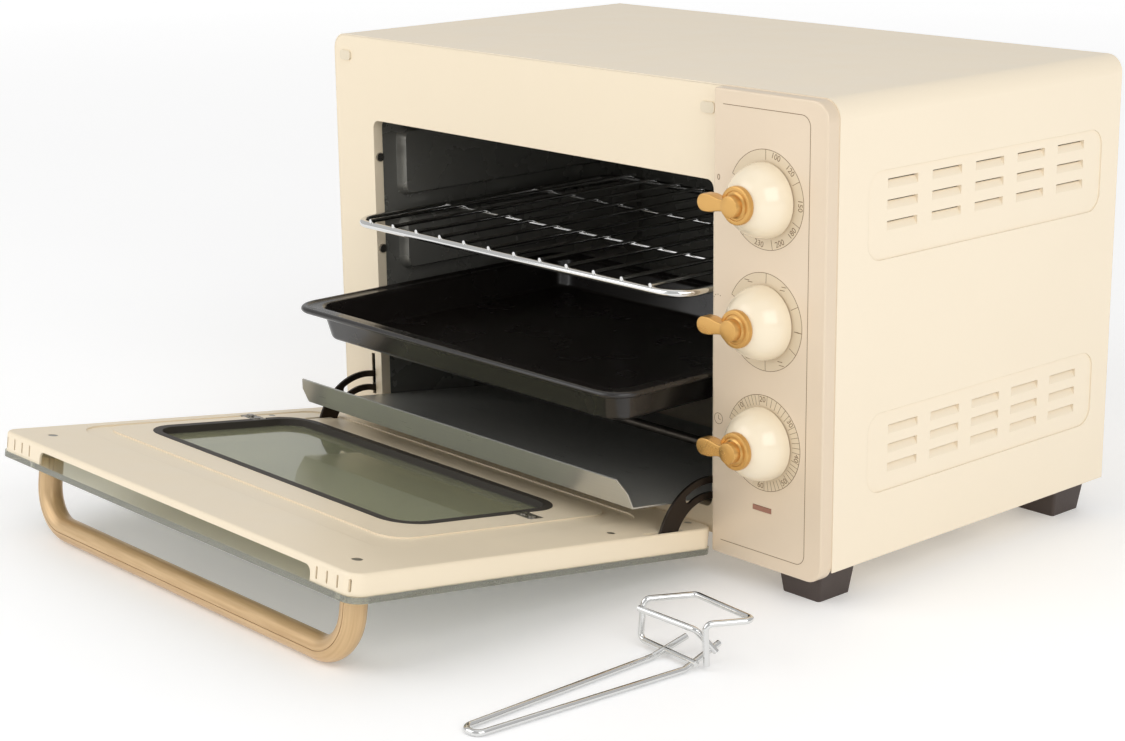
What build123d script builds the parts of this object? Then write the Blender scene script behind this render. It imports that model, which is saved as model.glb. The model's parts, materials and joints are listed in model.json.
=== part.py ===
from build123d import *
import os
from math import cos, hypot, radians, sin, tan

# Table-top oven with a drop-down door. Millimetres, +Z up, the door faces -Y.
# Everything is drawn about the middle of the cabinet's front face at floor level,
# and moved at the end so that the origin is under the middle of the whole object.

# ---------------------------------------------------------------- driving sizes
# Cabinet
HALF_WIDTH = 250.0
DEPTH = 282.0
FOOT_HEIGHT = 24.0
TOP = 319.0
SHEET = 0.8
PLATE = 1.0
CORNER_R = 12.0
FIT = 0.1

# Cavity opening in the front frame
CAVITY_LEFT = -205.3
CAVITY_RIGHT = 146.0
CAVITY_BOTTOM = 42.0
CAVITY_TOP = 258.0
CAVITY_BACK = 275.6
FLANGE_DEPTH = 8.0
EMBOSS = 8.0
EMBOSS_BANDS = [(85.0, 128.0), (141.5, 184.0), (198.0, 250.0)]
EMBOSS_Y = (21.5, 255.0)

# Control panel and its three dials
PANEL_LEFT = 155.5
PANEL_RIGHT = 249.5
PANEL_BOTTOM = 17.6
PANEL_TOP = 318.5
PANEL_DEPTH = 10.0
PANEL_WALL = 2.0
DIAL_X = 200.0
DIAL_Z = {"temperature": 254.0, "function": 177.6, "timer": 99.7}
SHAFT_R = 3.0
SHAFT_GAP = 0.05
DOME_R = 23.5
DOME_BASE_Y = -10.6
DOME_TOP_Y = -33.0
HUB_R = 12.0
BOSS_R = 6.75
LEVER_REACH = 27.0
LEVER_WIDTH = 11.0
LAMP_Z = 56.3

# Side louvres: first slit, pitch, rows
LOUVRE_LENGTH = 30.0
LOUVRE_COLUMNS = 5
LOUVRE_RAMP = [(-0.3, -5.0), (-0.3, 2.4), (-3.4, 2.4), (-3.4, 0.0)]
LOUVRE_HOLLOW = [(2.0, -5.8), (2.0, 1.6), (-6.0, 1.6), (-6.0, 0.3), (-2.6, 0.3), (0.0, -4.2)]
LOUVRE_GROUPS = [
    {"y": 44.5, "pitch": 42.5, "rows": (238.3, 251.4, 264.5), "panel": (26.0, 264.0, 215.5, 273.0)},
    {"y": 50.5, "pitch": 41.5, "rows": (82.7, 95.2, 107.7), "panel": (30.0, 265.0, 66.0, 120.0)},
]

# Door, drawn shut and then opened about the hinge axis
HINGE_Y = -11.0
HINGE_Z = 22.8
OPEN_ANGLE = 82.0
DOOR_LEFT = -249.0
DOOR_RIGHT = 154.0
DOOR_BOTTOM = 17.8
DOOR_TOP = 311.0
DOOR_INNER_Y = -1.5
DOOR_GLASS_Y = (-19.0, -15.0)
DOOR_SKIN = 2.4
DOOR_SKIRT = 1.6
DOOR_CORNER = 10.0
GLASS_MARGIN = 1.0
WINDOW = (-226.0, 76.0, 76.6, 215.6)
WINDOW_R = 25.0
SEAL_WIDTH = 6.5
SLOT_X = [-241.0, -231.0, -221.0, -211.0, 119.0, 129.0, 139.0, 149.0]
HANDLE_X = (-221.0, 126.0)
HANDLE_Z = 287.6
HANDLE_Y = -62.0
HANDLE_R = 8.25
HANDLE_BEND = 28.0
DOOR_SCREWS = [(-233.0, 96.6), (-233.0, 26.5), (138.0, 96.6), (137.0, 26.5)]
CLIPS = [(-231.5, 114.0), (81.5, 117.0)]

# Hinge brackets, pins and the curved check arms beside the cavity
HINGE_X = (-192.5, 97.5)
PIN_R = 2.0
TAB_THICK = 3.0
ARM_X = (-215.0, 150.4)
ARM_R = 36.0
ARM_WIDTH = 15.0
ARM_THICK = 2.0
ARM_START = 165.0
ARM_END = 55.0
ARM_SLOT_Z = (46.8, 78.6)

# Loose pieces in the cavity, at the places they are pulled out to
RACK = (-200.0, 144.0, -30.0, 238.0)
RACK_Z = 187.0
RACK_FRAME_R = 2.75
RACK_WIRE_R = 1.5
RACK_WIRES = 12
RACK_PITCH = 26.6
PAN = (-203.0, 144.0, -83.0, 185.0)
PAN_RIM_Z = 133.0
PAN_DEPTH = 25.0
CRUMB_X = (-203.0, 144.5)
CRUMB_LENGTH = 234.0
CRUMB_OUT = (-70.0, 56.7)
CRUMB_HOME = (34.0, 50.0)
CRUMB_TILT = 7.2
CRUMB_LIP = (-11.4, 18.7)

# Heaters: y and z of each rod
HEATER_R = 3.2
HEATERS = {
    "heater_bottom_front": (53.0, 62.0),
    "heater_bottom_rear": (230.0, 62.0),
    "heater_top_front": (70.0, 253.5),
    "heater_top_rear": (210.0, 253.5),
}

FOOT_X = 221.0
FOOT_Y = {"front": 18.0, "rear": 260.0}
LIFTER_R = 2.0


# ---------------------------------------------------------------- helpers
def block(x0, x1, y0, y1, z0, z1):
    """Box between two corners."""
    size = Box(x1 - x0, y1 - y0, z1 - z0)
    return Pos((x0 + x1) / 2, (y0 + y1) / 2, (z0 + z1) / 2) * size


def rod_x(x0, x1, y, z, radius):
    """Cylinder along X."""
    return Pos((x0 + x1) / 2, y, z) * Rot(0, 90, 0) * Cylinder(radius, x1 - x0)


def rod_y(x, y0, y1, z, radius):
    """Cylinder along Y."""
    return Pos(x, (y0 + y1) / 2, z) * Rot(90, 0, 0) * Cylinder(radius, y1 - y0)


def rod_z(x, y, z0, z1, radius):
    """Cylinder along Z."""
    return Pos(x, y, (z0 + z1) / 2) * Cylinder(radius, z1 - z0)


def plate_xz(x0, x1, z0, z1, y0, y1, radius):
    """Rounded plate that stands across Y."""
    plane = Plane(origin=((x0 + x1) / 2, y0, (z0 + z1) / 2), x_dir=(1, 0, 0), z_dir=(0, 1, 0))
    return extrude(plane * RectangleRounded(x1 - x0, z1 - z0, radius), amount=y1 - y0)


def plate_yz(y0, y1, z0, z1, x0, x1, radius, taper=0):
    """Rounded plate that stands across X; x1 may be lower than x0."""
    side = 1 if x1 > x0 else -1
    plane = Plane(origin=(x0, (y0 + y1) / 2, (z0 + z1) / 2), x_dir=(0, 1, 0), z_dir=(side, 0, 0))
    return extrude(plane * RectangleRounded(y1 - y0, z1 - z0, radius), amount=abs(x1 - x0), taper=taper)


def plate_xy(x0, x1, y0, y1, z0, z1, radius, taper=0):
    """Rounded plate that lies across Z; z1 may be lower than z0."""
    side = 1 if z1 > z0 else -1
    plane = Plane(origin=((x0 + x1) / 2, (y0 + y1) / 2, z0), x_dir=(1, 0, 0), z_dir=(0, 0, side))
    return extrude(plane * RectangleRounded(x1 - x0, y1 - y0, radius), amount=abs(z1 - z0), taper=taper)


def prism_yz(points, x0, x1):
    """Outline in Y and Z carried along X."""
    face = Plane(origin=(x0, 0, 0), x_dir=(0, 1, 0), z_dir=(1, 0, 0)) * make_face(Polyline(*points, close=True))
    return extrude(face, amount=x1 - x0)


def prism_xz(points, y0, y1):
    """Outline in X and Z carried along Y."""
    flipped = [(x, -z) for x, z in points]
    face = Plane(origin=(0, y0, 0), x_dir=(1, 0, 0), z_dir=(0, 1, 0)) * make_face(Polyline(*flipped, close=True))
    return extrude(face, amount=y1 - y0)


def wire_rod(points, radius, bend):
    """Round wire along a route whose corners are bent to one radius."""
    path = FilletPolyline(*points, radius=bend)
    section = Plane(origin=path @ 0, z_dir=path % 0) * Circle(radius)
    return sweep(section, path=path)


def turn(shape, y, z, angle):
    """Turn about an X axis through y, z."""
    return Pos(0, y, z) * Rot(angle, 0, 0) * Pos(0, -y, -z) * shape


def opened(shape):
    """Door piece moved from shut to open."""
    return turn(shape, HINGE_Y, HINGE_Z, OPEN_ANGLE)


def group(shapes):
    """Separate solids kept in one node."""
    solids = [solid for shape in shapes for solid in shape.solids()]
    return Compound(solids)


# ---------------------------------------------------------------- cabinet
def louvre_panels(side):
    """Pads behind, and pockets in front, of one side's two pressed panels."""
    pads = []
    pockets = []
    outer = side * HALF_WIDTH
    inner = side * (HALF_WIDTH - SHEET)
    for louvre in LOUVRE_GROUPS:
        y0, y1, z0, z1 = louvre["panel"]
        pads.append(plate_yz(y0, y1, z0, z1, inner, inner - side * SHEET, CORNER_R))
        pockets.append(plate_yz(y0 + 1, y1 - 1, z0 + 1, z1 - 1, outer + side, inner, CORNER_R))
    return pads, pockets


def louvres(side, outline, inset):
    """One side's louvres, from an outline in depth and height carried along Y."""
    shapes = []
    face = HALF_WIDTH - SHEET
    for louvre in LOUVRE_GROUPS:
        for column in range(LOUVRE_COLUMNS):
            y0 = louvre["y"] + column * louvre["pitch"]
            for z in louvre["rows"]:
                points = [(side * (face + depth), z + height) for depth, height in outline]
                shapes.append(prism_xz(points, y0 + inset, y0 + LOUVRE_LENGTH - inset))
    return shapes


def outer_cover():
    """Folded sheet over the top and both sides, with pressed louvres."""
    def section(inset):
        half = HALF_WIDTH - inset
        low = FOOT_HEIGHT - (5 if inset else 0)
        high = TOP - inset
        plane = Plane(origin=(0, 0, (low + high) / 2), x_dir=(1, 0, 0), z_dir=(0, 1, 0))
        sketch = Rectangle(2 * half, high - low)
        corners = sketch.vertices().group_by(Axis.Y)[0]
        return extrude(plane * fillet(corners, CORNER_R - inset), amount=DEPTH)

    cover = section(0) - section(SHEET)
    for side in (-1, 1):
        pads, pockets = louvre_panels(side)
        cover = cover + pads - pockets
        cover = cover + louvres(side, LOUVRE_RAMP, 0.0) - louvres(side, LOUVRE_HOLLOW, SHEET)
    return cover


def back_cover():
    """Flat rear sheet with rows of vent slots and the cord outlet."""
    inner = HALF_WIDTH - SHEET - FIT
    sheet = plate_xz(-inner, inner, FOOT_HEIGHT + 1.2, TOP - SHEET - FIT, 278.5, 279.5, CORNER_R)
    cuts = []
    for row in range(6):
        for column in range(9):
            x = -168 + column * 42
            z = 120 + row * 26
            cuts.append(plate_xz(x - 14, x + 14, z - 2, z + 2, 278, 280, 1.9))
    cuts.append(rod_y(205, 278, 280, 52, 8.2))
    for x in (-235, 0, 235):
        for z in (38, 306):
            cuts.append(rod_y(x, 278, 280, z, 1.8))
    return sheet - cuts


def back_screws():
    """Six screws that hold the rear sheet."""
    screws = []
    for x in (-235, 0, 235):
        for z in (38, 306):
            screws.append(rod_y(x, 279.5, 281.3, z, 3.6) + rod_y(x, 276.8, 279.51, z, 1.7))
    return group(screws)


def base_plate():
    """Bottom sheet, which is also the floor under the crumb tray."""
    inner = HALF_WIDTH - SHEET - FIT
    sheet = block(-inner, inner, 2, 278.4, FOOT_HEIGHT, FOOT_HEIGHT + PLATE)
    cuts = []
    for sign in (-1, 1):
        for y in FOOT_Y.values():
            cuts.append(rod_z(sign * FOOT_X, y, 20, 30, 2.2))
    for column in range(8):
        x = 172 + (column % 4) * 16
        y = 80 + (column // 4) * 60
        cuts.append(plate_xy(x, x + 6, y, y + 40, 20, 30, 2.9))
    return sheet - cuts


def front_frame():
    """Front sheet with the cavity opening, an inward flange and the arm slots."""
    inner = HALF_WIDTH - SHEET - FIT
    low = FOOT_HEIGHT + 1.5
    high = TOP - SHEET - FIT
    frame = plate_xz(-inner, inner, low, high, 0, 9, CORNER_R - SHEET)
    frame -= plate_xz(-inner + PLATE, inner - PLATE, low + PLATE, high - PLATE, PLATE, 10, CORNER_R - 2)
    flange = plate_xz(CAVITY_LEFT - PLATE, CAVITY_RIGHT + PLATE, CAVITY_BOTTOM - PLATE, CAVITY_TOP + PLATE,
                      0, FLANGE_DEPTH, 7)
    frame += flange
    frame -= plate_xz(CAVITY_LEFT, CAVITY_RIGHT, CAVITY_BOTTOM, CAVITY_TOP, -1, 10, 6)
    cuts = []
    for x in ARM_X:
        cuts.append(block(x - 2, x + 2, -1, 2, *ARM_SLOT_Z))
    for z in DIAL_Z.values():
        cuts.append(rod_y(DIAL_X, -1, 2, z, 17))
    cuts.append(rod_y(DIAL_X, -1, 2, LAMP_Z, 5))
    for x, z in flange_screw_places():
        cuts.append(rod_x(x - 3, x + 3, 4.6, z, 1.6))
    return frame - cuts


def flange_screw_places():
    """Screws through the two upright flanges of the opening."""
    return [(x, z) for x in (CAVITY_LEFT, CAVITY_RIGHT) for z in (92, 161, 230)]


def flange_screws():
    """Small pan-head screws that tie the opening's flange to the cavity."""
    screws = []
    for x, z in flange_screw_places():
        side = 1 if x < 0 else -1
        head = (min(x, x + side * 1.8), max(x, x + side * 1.8))
        shank = (min(x + side * 0.5, x - side * 1.9), max(x + side * 0.5, x - side * 1.9))
        screws.append(rod_x(*head, 4.6, z, 3.2) + rod_x(*shank, 4.6, z, 1.5))
    return group(screws)


def frame_bumpers():
    """Two soft pads that the shut door rests on."""
    return group([plate_xz(x - 6, x + 6, 300, 307, -1.2, 0, 2.5) for x in (-236, 141)])


def control_panel():
    """Moulded front panel beside the door, open at the back."""
    shell = plate_xz(PANEL_LEFT, PANEL_RIGHT, PANEL_BOTTOM, PANEL_TOP, -PANEL_DEPTH, 0, 1.5)
    right = PANEL_RIGHT - CORNER_R
    corner_low = block(right, PANEL_RIGHT + 1, -20, 5, PANEL_BOTTOM - 1, PANEL_BOTTOM + CORNER_R)
    corner_low -= rod_y(right, -21, 6, PANEL_BOTTOM + CORNER_R, CORNER_R)
    corner_high = block(right, PANEL_RIGHT + 1, -20, 5, PANEL_TOP - CORNER_R, PANEL_TOP + 1)
    corner_high -= rod_y(right, -21, 6, PANEL_TOP - CORNER_R, CORNER_R)
    shell = shell - corner_low - corner_high
    front = shell.faces().sort_by(Axis.Y)[0]
    shell = fillet(front.edges(), 1.2)
    shell -= plate_xz(PANEL_LEFT + PANEL_WALL, PANEL_RIGHT - PANEL_WALL, PANEL_BOTTOM + PANEL_WALL,
                      PANEL_TOP - PANEL_WALL, -PANEL_DEPTH + PANEL_WALL, 1, CORNER_R - PANEL_WALL)
    cuts = [rod_y(DIAL_X, -PANEL_DEPTH - 1, 0, z, 4.5) for z in DIAL_Z.values()]
    cuts.append(block(191.6, 207.6, -PANEL_DEPTH - 1, 0, LAMP_Z - 1.8, LAMP_Z + 1.8))
    return shell - cuts


# ---------------------------------------------------------------- cavity
def emboss_blocks(x_face, side, inset):
    """Raised bands of a side wall; inset makes the hollow behind them."""
    y0, y1 = EMBOSS_Y
    bands = []
    for z0, z1 in EMBOSS_BANDS:
        bands.append(plate_yz(y0 + inset, y1 - inset, z0 + inset, z1 - inset,
                              x_face, x_face + side * (EMBOSS - inset), 9, taper=20))
    return bands


def cavity_side_wall(side):
    """Side wall of the cavity; side is -1 on the left and 1 on the right."""
    face = CAVITY_LEFT - PLATE - FIT if side < 0 else CAVITY_RIGHT + PLATE + FIT
    back = face + side * SHEET
    x0, x1 = min(face, back), max(face, back)
    wall = block(x0, x1, 2, CAVITY_BACK - FIT, 44, 260) + block(x0, x1, 9.2, CAVITY_BACK - FIT, 27, 44.5)
    wall = wall + emboss_blocks(face, -side, 0.0)
    wall = wall - emboss_blocks(back, -side, 0.8)
    cuts = [rod_x(x0 - 1, x1 + 1, y, z, HEATER_R + 0.6) for y, z in HEATERS.values()]
    cuts += [rod_x(x0 - 1, x1 + 1, 4.6, z, 1.6) for z in (92, 161, 230)]
    return wall - cuts


def cavity_back_wall():
    """Rear wall of the cavity with a shallow pressed panel."""
    x0 = CAVITY_LEFT - PLATE - FIT - SHEET
    x1 = CAVITY_RIGHT + PLATE + FIT + SHEET
    y0 = CAVITY_BACK
    wall = block(x0, x1, y0, y0 + SHEET, 27, 260)
    wall += plate_xz(x0 + 40, x1 - 40, 80, 235, y0 - 2, y0, 14)
    return wall - plate_xz(x0 + 41, x1 - 41, 81, 234, y0 - 1.2, y0 + 1, 13)


def cavity_top_wall():
    """Roof of the cavity."""
    x0 = CAVITY_LEFT - PLATE - FIT
    x1 = CAVITY_RIGHT + PLATE + FIT
    low = CAVITY_TOP + PLATE + FIT
    roof = block(x0, x1, 2, CAVITY_BACK - FIT, low, low + SHEET)
    roof += plate_xy(x0 + 45, x1 - 45, 90, 190, low, low - 1.6, 14)
    return roof - plate_xy(x0 + 46, x1 - 46, 91, 189, low + 1, low - 0.8, 13)


def heater(name):
    """Metal-sheathed heating rod across the cavity."""
    y, z = HEATERS[name]
    return rod_x(CAVITY_LEFT - 14, CAVITY_RIGHT + 14, y, z, HEATER_R)


def heater_insulators():
    """Ceramic bush on each end of each heating rod."""
    bushes = []
    left = CAVITY_LEFT - PLATE - FIT - SHEET
    right = CAVITY_RIGHT + PLATE + FIT + SHEET
    for y, z in HEATERS.values():
        for x0, x1 in ((left - 13, left - 0.1), (right + 0.1, right + 13)):
            bushes.append(rod_x(x0, x1, y, z, 6.5) - rod_x(x0 - 1, x1 + 1, y, z, HEATER_R))
    return group(bushes)


# ---------------------------------------------------------------- controls
def control_body(name, width, height, depth):
    """Switch, timer or thermostat behind a dial, with its threaded bush."""
    z = DIAL_Z[name]
    body = block(DIAL_X - width / 2, DIAL_X + width / 2, 2.2, 2.2 + depth, z - height / 2, z + height / 2)
    flange = plate_xz(DIAL_X - 23, DIAL_X + 23, z - 20, z + 20, PLATE, 2.3, 3)
    bush = rod_y(DIAL_X, -PANEL_DEPTH + PANEL_WALL, 3, z, 6)
    bore = rod_y(DIAL_X, -PANEL_DEPTH, 14, z, SHAFT_R + SHAFT_GAP)
    tags = [block(x - 3, x + 3, 2.2 + depth, 10 + depth, z - 0.4, z + 0.4) for x in (DIAL_X - 10, DIAL_X + 10)]
    return body + flange + bush + tags - bore


def dial_shaft(name):
    """Shaft that carries a dial knob into its switch."""
    return rod_y(DIAL_X, -30, 13.5, DIAL_Z[name], SHAFT_R)


def dial_dome(name):
    """Cream dome of a dial knob, hollow where the shaft enters."""
    rise = DOME_BASE_Y - DOME_TOP_Y
    shoulder = (DOME_R * 0.93, rise * 0.42)
    profile = Line((0, 0), (DOME_R - 0.6, 0)) + Line((DOME_R - 0.6, 0), (DOME_R, 1.4))
    profile += ThreePointArc((DOME_R, 1.4), shoulder, (HUB_R - 1, rise))
    profile += Line((HUB_R - 1, rise), (0, rise)) + Line((0, rise), (0, 0))
    section = Plane(origin=(DIAL_X, DOME_BASE_Y, DIAL_Z[name]), x_dir=(1, 0, 0), z_dir=(0, 0, 1))
    section = section * make_face(mirror(profile, about=Plane.XZ))
    axis = Axis((DIAL_X, 0, DIAL_Z[name]), (0, 1, 0))
    dome = revolve(section, axis=axis)
    return dome - rod_y(DIAL_X, -30, DOME_BASE_Y + 1, DIAL_Z[name], SHAFT_R)


def dial_lever(name):
    """Gold disc and lever on top of a dial knob, pointing to -X at rest."""
    z = DIAL_Z[name]
    disc = rod_y(DIAL_X, DOME_TOP_Y - 4, DOME_TOP_Y, z, HUB_R)
    disc = fillet(disc.edges().filter_by(GeomType.CIRCLE), 0.8)
    boss = rod_y(DIAL_X, DOME_TOP_Y - 10, DOME_TOP_Y - 3.9, z, BOSS_R)
    tip = LEVER_REACH - LEVER_WIDTH / 2
    outline = [(0, -3.6), (-9, -3.6), (-tip + 3, -LEVER_WIDTH / 2), (-tip, -LEVER_WIDTH / 2),
               (-tip, LEVER_WIDTH / 2), (-tip + 3, LEVER_WIDTH / 2), (-9, 3.6), (0, 3.6)]
    bar = prism_xz([(DIAL_X + x, z + h) for x, h in outline], DOME_TOP_Y - 9.4, DOME_TOP_Y - 3.9)
    end = rod_y(DIAL_X - tip, DOME_TOP_Y - 9.4, DOME_TOP_Y - 3.9, z, LEVER_WIDTH / 2)
    return disc + boss + bar + end


def indicator_lens():
    """Small clear window over the lamp."""
    return block(191.8, 207.4, -PANEL_DEPTH - 0.3, -PANEL_DEPTH + PANEL_WALL, LAMP_Z - 1.6, LAMP_Z + 1.6)


def indicator_lamp():
    """Neon lamp behind its window."""
    return rod_y(DIAL_X, -7.8, 12, LAMP_Z, 3)


def terminal_block():
    """Mains terminal block on the base plate."""
    body = block(178, 232, 238, 256, FOOT_HEIGHT + PLATE, 44)
    wells = [rod_z(x, 247, 38, 46, 2.5) for x in (187, 196, 205, 214, 223)]
    return body - wells


def cord_gland():
    """Bush in the rear sheet where a mains lead would enter."""
    bush = rod_y(205, 274, 281.6, 52, 8.0) + rod_y(205, 279.6, 281.6, 52, 11)
    return bush - rod_y(205, 273, 283, 52, 4)


# ---------------------------------------------------------------- feet and hinges
def foot(sign, end):
    """Tapered plastic foot with a screw recess."""
    x, y = sign * FOOT_X, FOOT_Y[end]
    low = Plane.XY * Pos(x, y) * RectangleRounded(31, 29, 2)
    high = Plane.XY.offset(FOOT_HEIGHT) * Pos(x, y) * RectangleRounded(38, 34, 2)
    body = loft([low.face(), high.face()])
    return body - rod_z(x, y, -1, 6, 5) - rod_z(x, y, 5, 30, 2.2)


def foot_screws():
    """Screw through each foot into the base plate."""
    screws = []
    for sign in (-1, 1):
        for y in FOOT_Y.values():
            screws.append(rod_z(sign * FOOT_X, y, 3, 6, 4.4) + rod_z(sign * FOOT_X, y, 5.9, 31, 2.0))
    return group(screws)


def hinge_bracket(x):
    """Ear under the base plate that carries one hinge pin."""
    ear = block(x - TAB_THICK / 2, x + TAB_THICK / 2, HINGE_Y, 20, 19.3, FOOT_HEIGHT - 0.1)
    ear += rod_x(x - TAB_THICK / 2, x + TAB_THICK / 2, HINGE_Y, HINGE_Z, 3.5)
    ear += block(x - 8, x + 8, 3, 26, FOOT_HEIGHT - 1.6, FOOT_HEIGHT)
    return ear - rod_x(x - 5, x + 5, HINGE_Y, HINGE_Z, PIN_R + 0.05)


def hinge_pins():
    """Pins fixed in the door that turn in the brackets."""
    return group([opened(rod_x(x - 12, x + 12, HINGE_Y, HINGE_Z, PIN_R)) for x in HINGE_X])


def arm_pin_place():
    """Shut-door place of the pin that joins each check arm to the door."""
    angle = radians(ARM_START - OPEN_ANGLE)
    return HINGE_Y + ARM_R * cos(angle), HINGE_Z + ARM_R * sin(angle)


def hinge_arm(x):
    """Curved check arm with an oblong window, from the door into its slot."""
    def bow(start, end, radius):
        arc = CenterArc((HINGE_Y, HINGE_Z), ARM_R, end, start - end)
        plane = Plane(origin=(x - ARM_THICK / 2, 0, 0), x_dir=(0, 1, 0), z_dir=(1, 0, 0))
        return extrude(plane * SlotArc(arc, radius * 2), amount=ARM_THICK)

    arm = bow(ARM_START, ARM_END, ARM_WIDTH / 2) - bow(116, 72, 3.0)
    angle = radians(ARM_START)
    y, z = HINGE_Y + ARM_R * cos(angle), HINGE_Z + ARM_R * sin(angle)
    return arm - rod_x(x - 5, x + 5, y, z, PIN_R + 0.05)


def hinge_arm_pins():
    """Pins in the door that the check arms turn on."""
    y, z = arm_pin_place()
    return group([opened(rod_x(x - 4, x + 2, y, z, PIN_R)) for x in ARM_X])


# ---------------------------------------------------------------- door
def door_frame():
    """Pressed inner frame of the door with its window, slots and lugs."""
    outer_y = DOOR_GLASS_Y[1]
    frame = plate_xz(DOOR_LEFT, DOOR_RIGHT, DOOR_BOTTOM, DOOR_TOP, outer_y, DOOR_INNER_Y, DOOR_CORNER)
    rim = frame.faces().sort_by(Axis.Y)[-1]
    frame = fillet(rim.edges(), 2.0)
    frame -= plate_xz(DOOR_LEFT + DOOR_SKIRT, DOOR_RIGHT - DOOR_SKIRT, DOOR_BOTTOM + DOOR_SKIRT,
                      DOOR_TOP - DOOR_SKIRT, outer_y - 1, DOOR_INNER_Y - DOOR_SKIN, DOOR_CORNER - 1)
    x0, x1, z0, z1 = WINDOW
    well = plate_xz(x0 - SEAL_WIDTH / 2, x1 + SEAL_WIDTH / 2, z0 - SEAL_WIDTH / 2, z1 + SEAL_WIDTH / 2,
                    outer_y + 1, DOOR_INNER_Y - 1, WINDOW_R + SEAL_WIDTH / 2)
    frame += well
    groove = plate_xz(x0 - 13, x1 + 43, z0 - 30, z1 + 44, DOOR_INNER_Y - 1.0, 0, 20)
    groove -= plate_xz(x0 - 9, x1 + 22, z0 - 20, z1 + 24, DOOR_INNER_Y - 2, 1, 18)
    frame -= groove
    for x in HINGE_X:
        frame += block(x - 12, x + 12, outer_y, DOOR_INNER_Y - 1, DOOR_BOTTOM + 1, 31)
    y_pin, z_pin = arm_pin_place()
    frame += block(ARM_X[0] - 4, ARM_X[0] + 4, outer_y, DOOR_INNER_Y - 1, z_pin - 6, z_pin + 6)
    frame += block(ARM_X[1] - 4, ARM_X[1] + 3, outer_y, DOOR_INNER_Y - 1, z_pin - 6, z_pin + 6)
    cuts = [plate_xz(x0, x1, z0, z1, -30, 5, WINDOW_R)]
    for x in HINGE_X:
        cuts.append(block(x - 2.5, x + 2.5, -30, 5, DOOR_BOTTOM - 1, 28))
        cuts.append(rod_x(x - 12, x + 12, HINGE_Y, HINGE_Z, PIN_R))
    for x in ARM_X:
        cuts.append(block(x - 1.9, x + 1.9, -30, 5, z_pin - 12, z_pin + 20))
        cuts.append(rod_x(x - 4, x + 2, y_pin, z_pin, PIN_R))
    for x in SLOT_X:
        cuts.append(plate_xy(x - 0.8, x + 0.8, -12.7, -5.0, DOOR_TOP - 4, DOOR_TOP + 1, 0.75))
    cuts.append(plate_xy(-197, 113, -22, -6, DOOR_TOP - 4, DOOR_TOP + 1, 5))
    for x, z in DOOR_SCREWS:
        cuts.append(rod_y(x, DOOR_INNER_Y - 1.2, 0, z, 2.7))
        cuts.append(rod_y(x, -10, 0, z, 1.6))
    for x in HANDLE_X:
        cuts.append(rod_y(x, DOOR_INNER_Y - 1.2, 0, HANDLE_Z, 3.4))
        cuts.append(rod_y(x, -16, 0, HANDLE_Z, 2.1))
    for x, z in CLIPS:
        cuts.append(plate_xz(x - 9.5, x + 9.5, z - 6.5, z + 6.5, DOOR_INNER_Y - 1.2, 0, 2))
        outward = -1 if x < -47.5 else 1
        cuts.append(rod_y(x + outward * 4.5, -10, 0, z, 1.6))
    return opened(frame - cuts)


def door_outer_glass():
    """Full-width outer pane of the door."""
    low, high = DOOR_BOTTOM - 0.5, DOOR_TOP + 0.8
    pane = plate_xz(DOOR_LEFT - GLASS_MARGIN, DOOR_RIGHT + GLASS_MARGIN, low, high, *DOOR_GLASS_Y, DOOR_CORNER)
    holes = [rod_y(x, -22, 0, HANDLE_Z, 2.6) for x in HANDLE_X]
    return opened(pane - holes)


def window_ring(inset, y0, y1):
    """Plate with the window's outline, drawn in by inset."""
    x0, x1, z0, z1 = WINDOW
    return plate_xz(x0 + inset, x1 - inset, z0 + inset, z1 - inset, y0, y1, WINDOW_R - inset)


def door_inner_glass():
    """Inner pane, set below the frame's face."""
    return opened(window_ring(SEAL_WIDTH, -9.3, -6.3))


def door_seal():
    """Dark gasket round the inner pane."""
    return opened(window_ring(0.1, -9.5, DOOR_INNER_Y + 0.2) - window_ring(SEAL_WIDTH, -20, 5) - clip_recesses())


def clip_recesses():
    """Room that the two glass clips need in the seal."""
    return [plate_xz(x - 9.5, x + 9.5, z - 6.5, z + 6.5, DOOR_INNER_Y - 1.2, 0, 2) for x, z in CLIPS]


def clip_screw_places():
    """Screw of each glass clip, on its outer side."""
    return [(x + (-4.5 if x < -47.5 else 4.5), z) for x, z in CLIPS]


def glass_clips():
    """Two folded metal clips that hold the inner pane."""
    clips = []
    for (x, z), (screw_x, screw_z) in zip(CLIPS, clip_screw_places()):
        tab = plate_xz(x - 9, x + 9, z - 6, z + 6, DOOR_INNER_Y - 1.2, DOOR_INNER_Y - 0.2, 2)
        inward = 1 if x < -47.5 else -1
        ridge = rod_y(x + inward * 4, DOOR_INNER_Y - 0.3, DOOR_INNER_Y + 0.5, z, 2.6)
        clips.append(tab + ridge - rod_y(screw_x, -10, 0, screw_z, 1.7))
    return opened(group(clips))


def clip_screws():
    """Pan-head screw of each glass clip."""
    return opened(group([rod_y(x, DOOR_INNER_Y - 0.2, DOOR_INNER_Y + 0.9, z, 2.9)
                         + rod_y(x, -9, DOOR_INNER_Y - 0.19, z, 1.5) for x, z in clip_screw_places()]))


def door_screws():
    """Screws that tie the frame to the glass carrier."""
    return opened(group([rod_y(x, DOOR_INNER_Y - 1.2, DOOR_INNER_Y - 0.1, z, 2.5)
                         + rod_y(x, -9, DOOR_INNER_Y - 1.19, z, 1.5) for x, z in DOOR_SCREWS]))


def handle_screws():
    """Long screws from inside the door into the handle's posts."""
    return opened(group([rod_y(x, DOOR_INNER_Y - 1.2, DOOR_INNER_Y - 0.1, HANDLE_Z, 3.2)
                         + rod_y(x, -36, DOOR_INNER_Y - 1.19, HANDLE_Z, 2.0) for x in HANDLE_X]))


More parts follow.
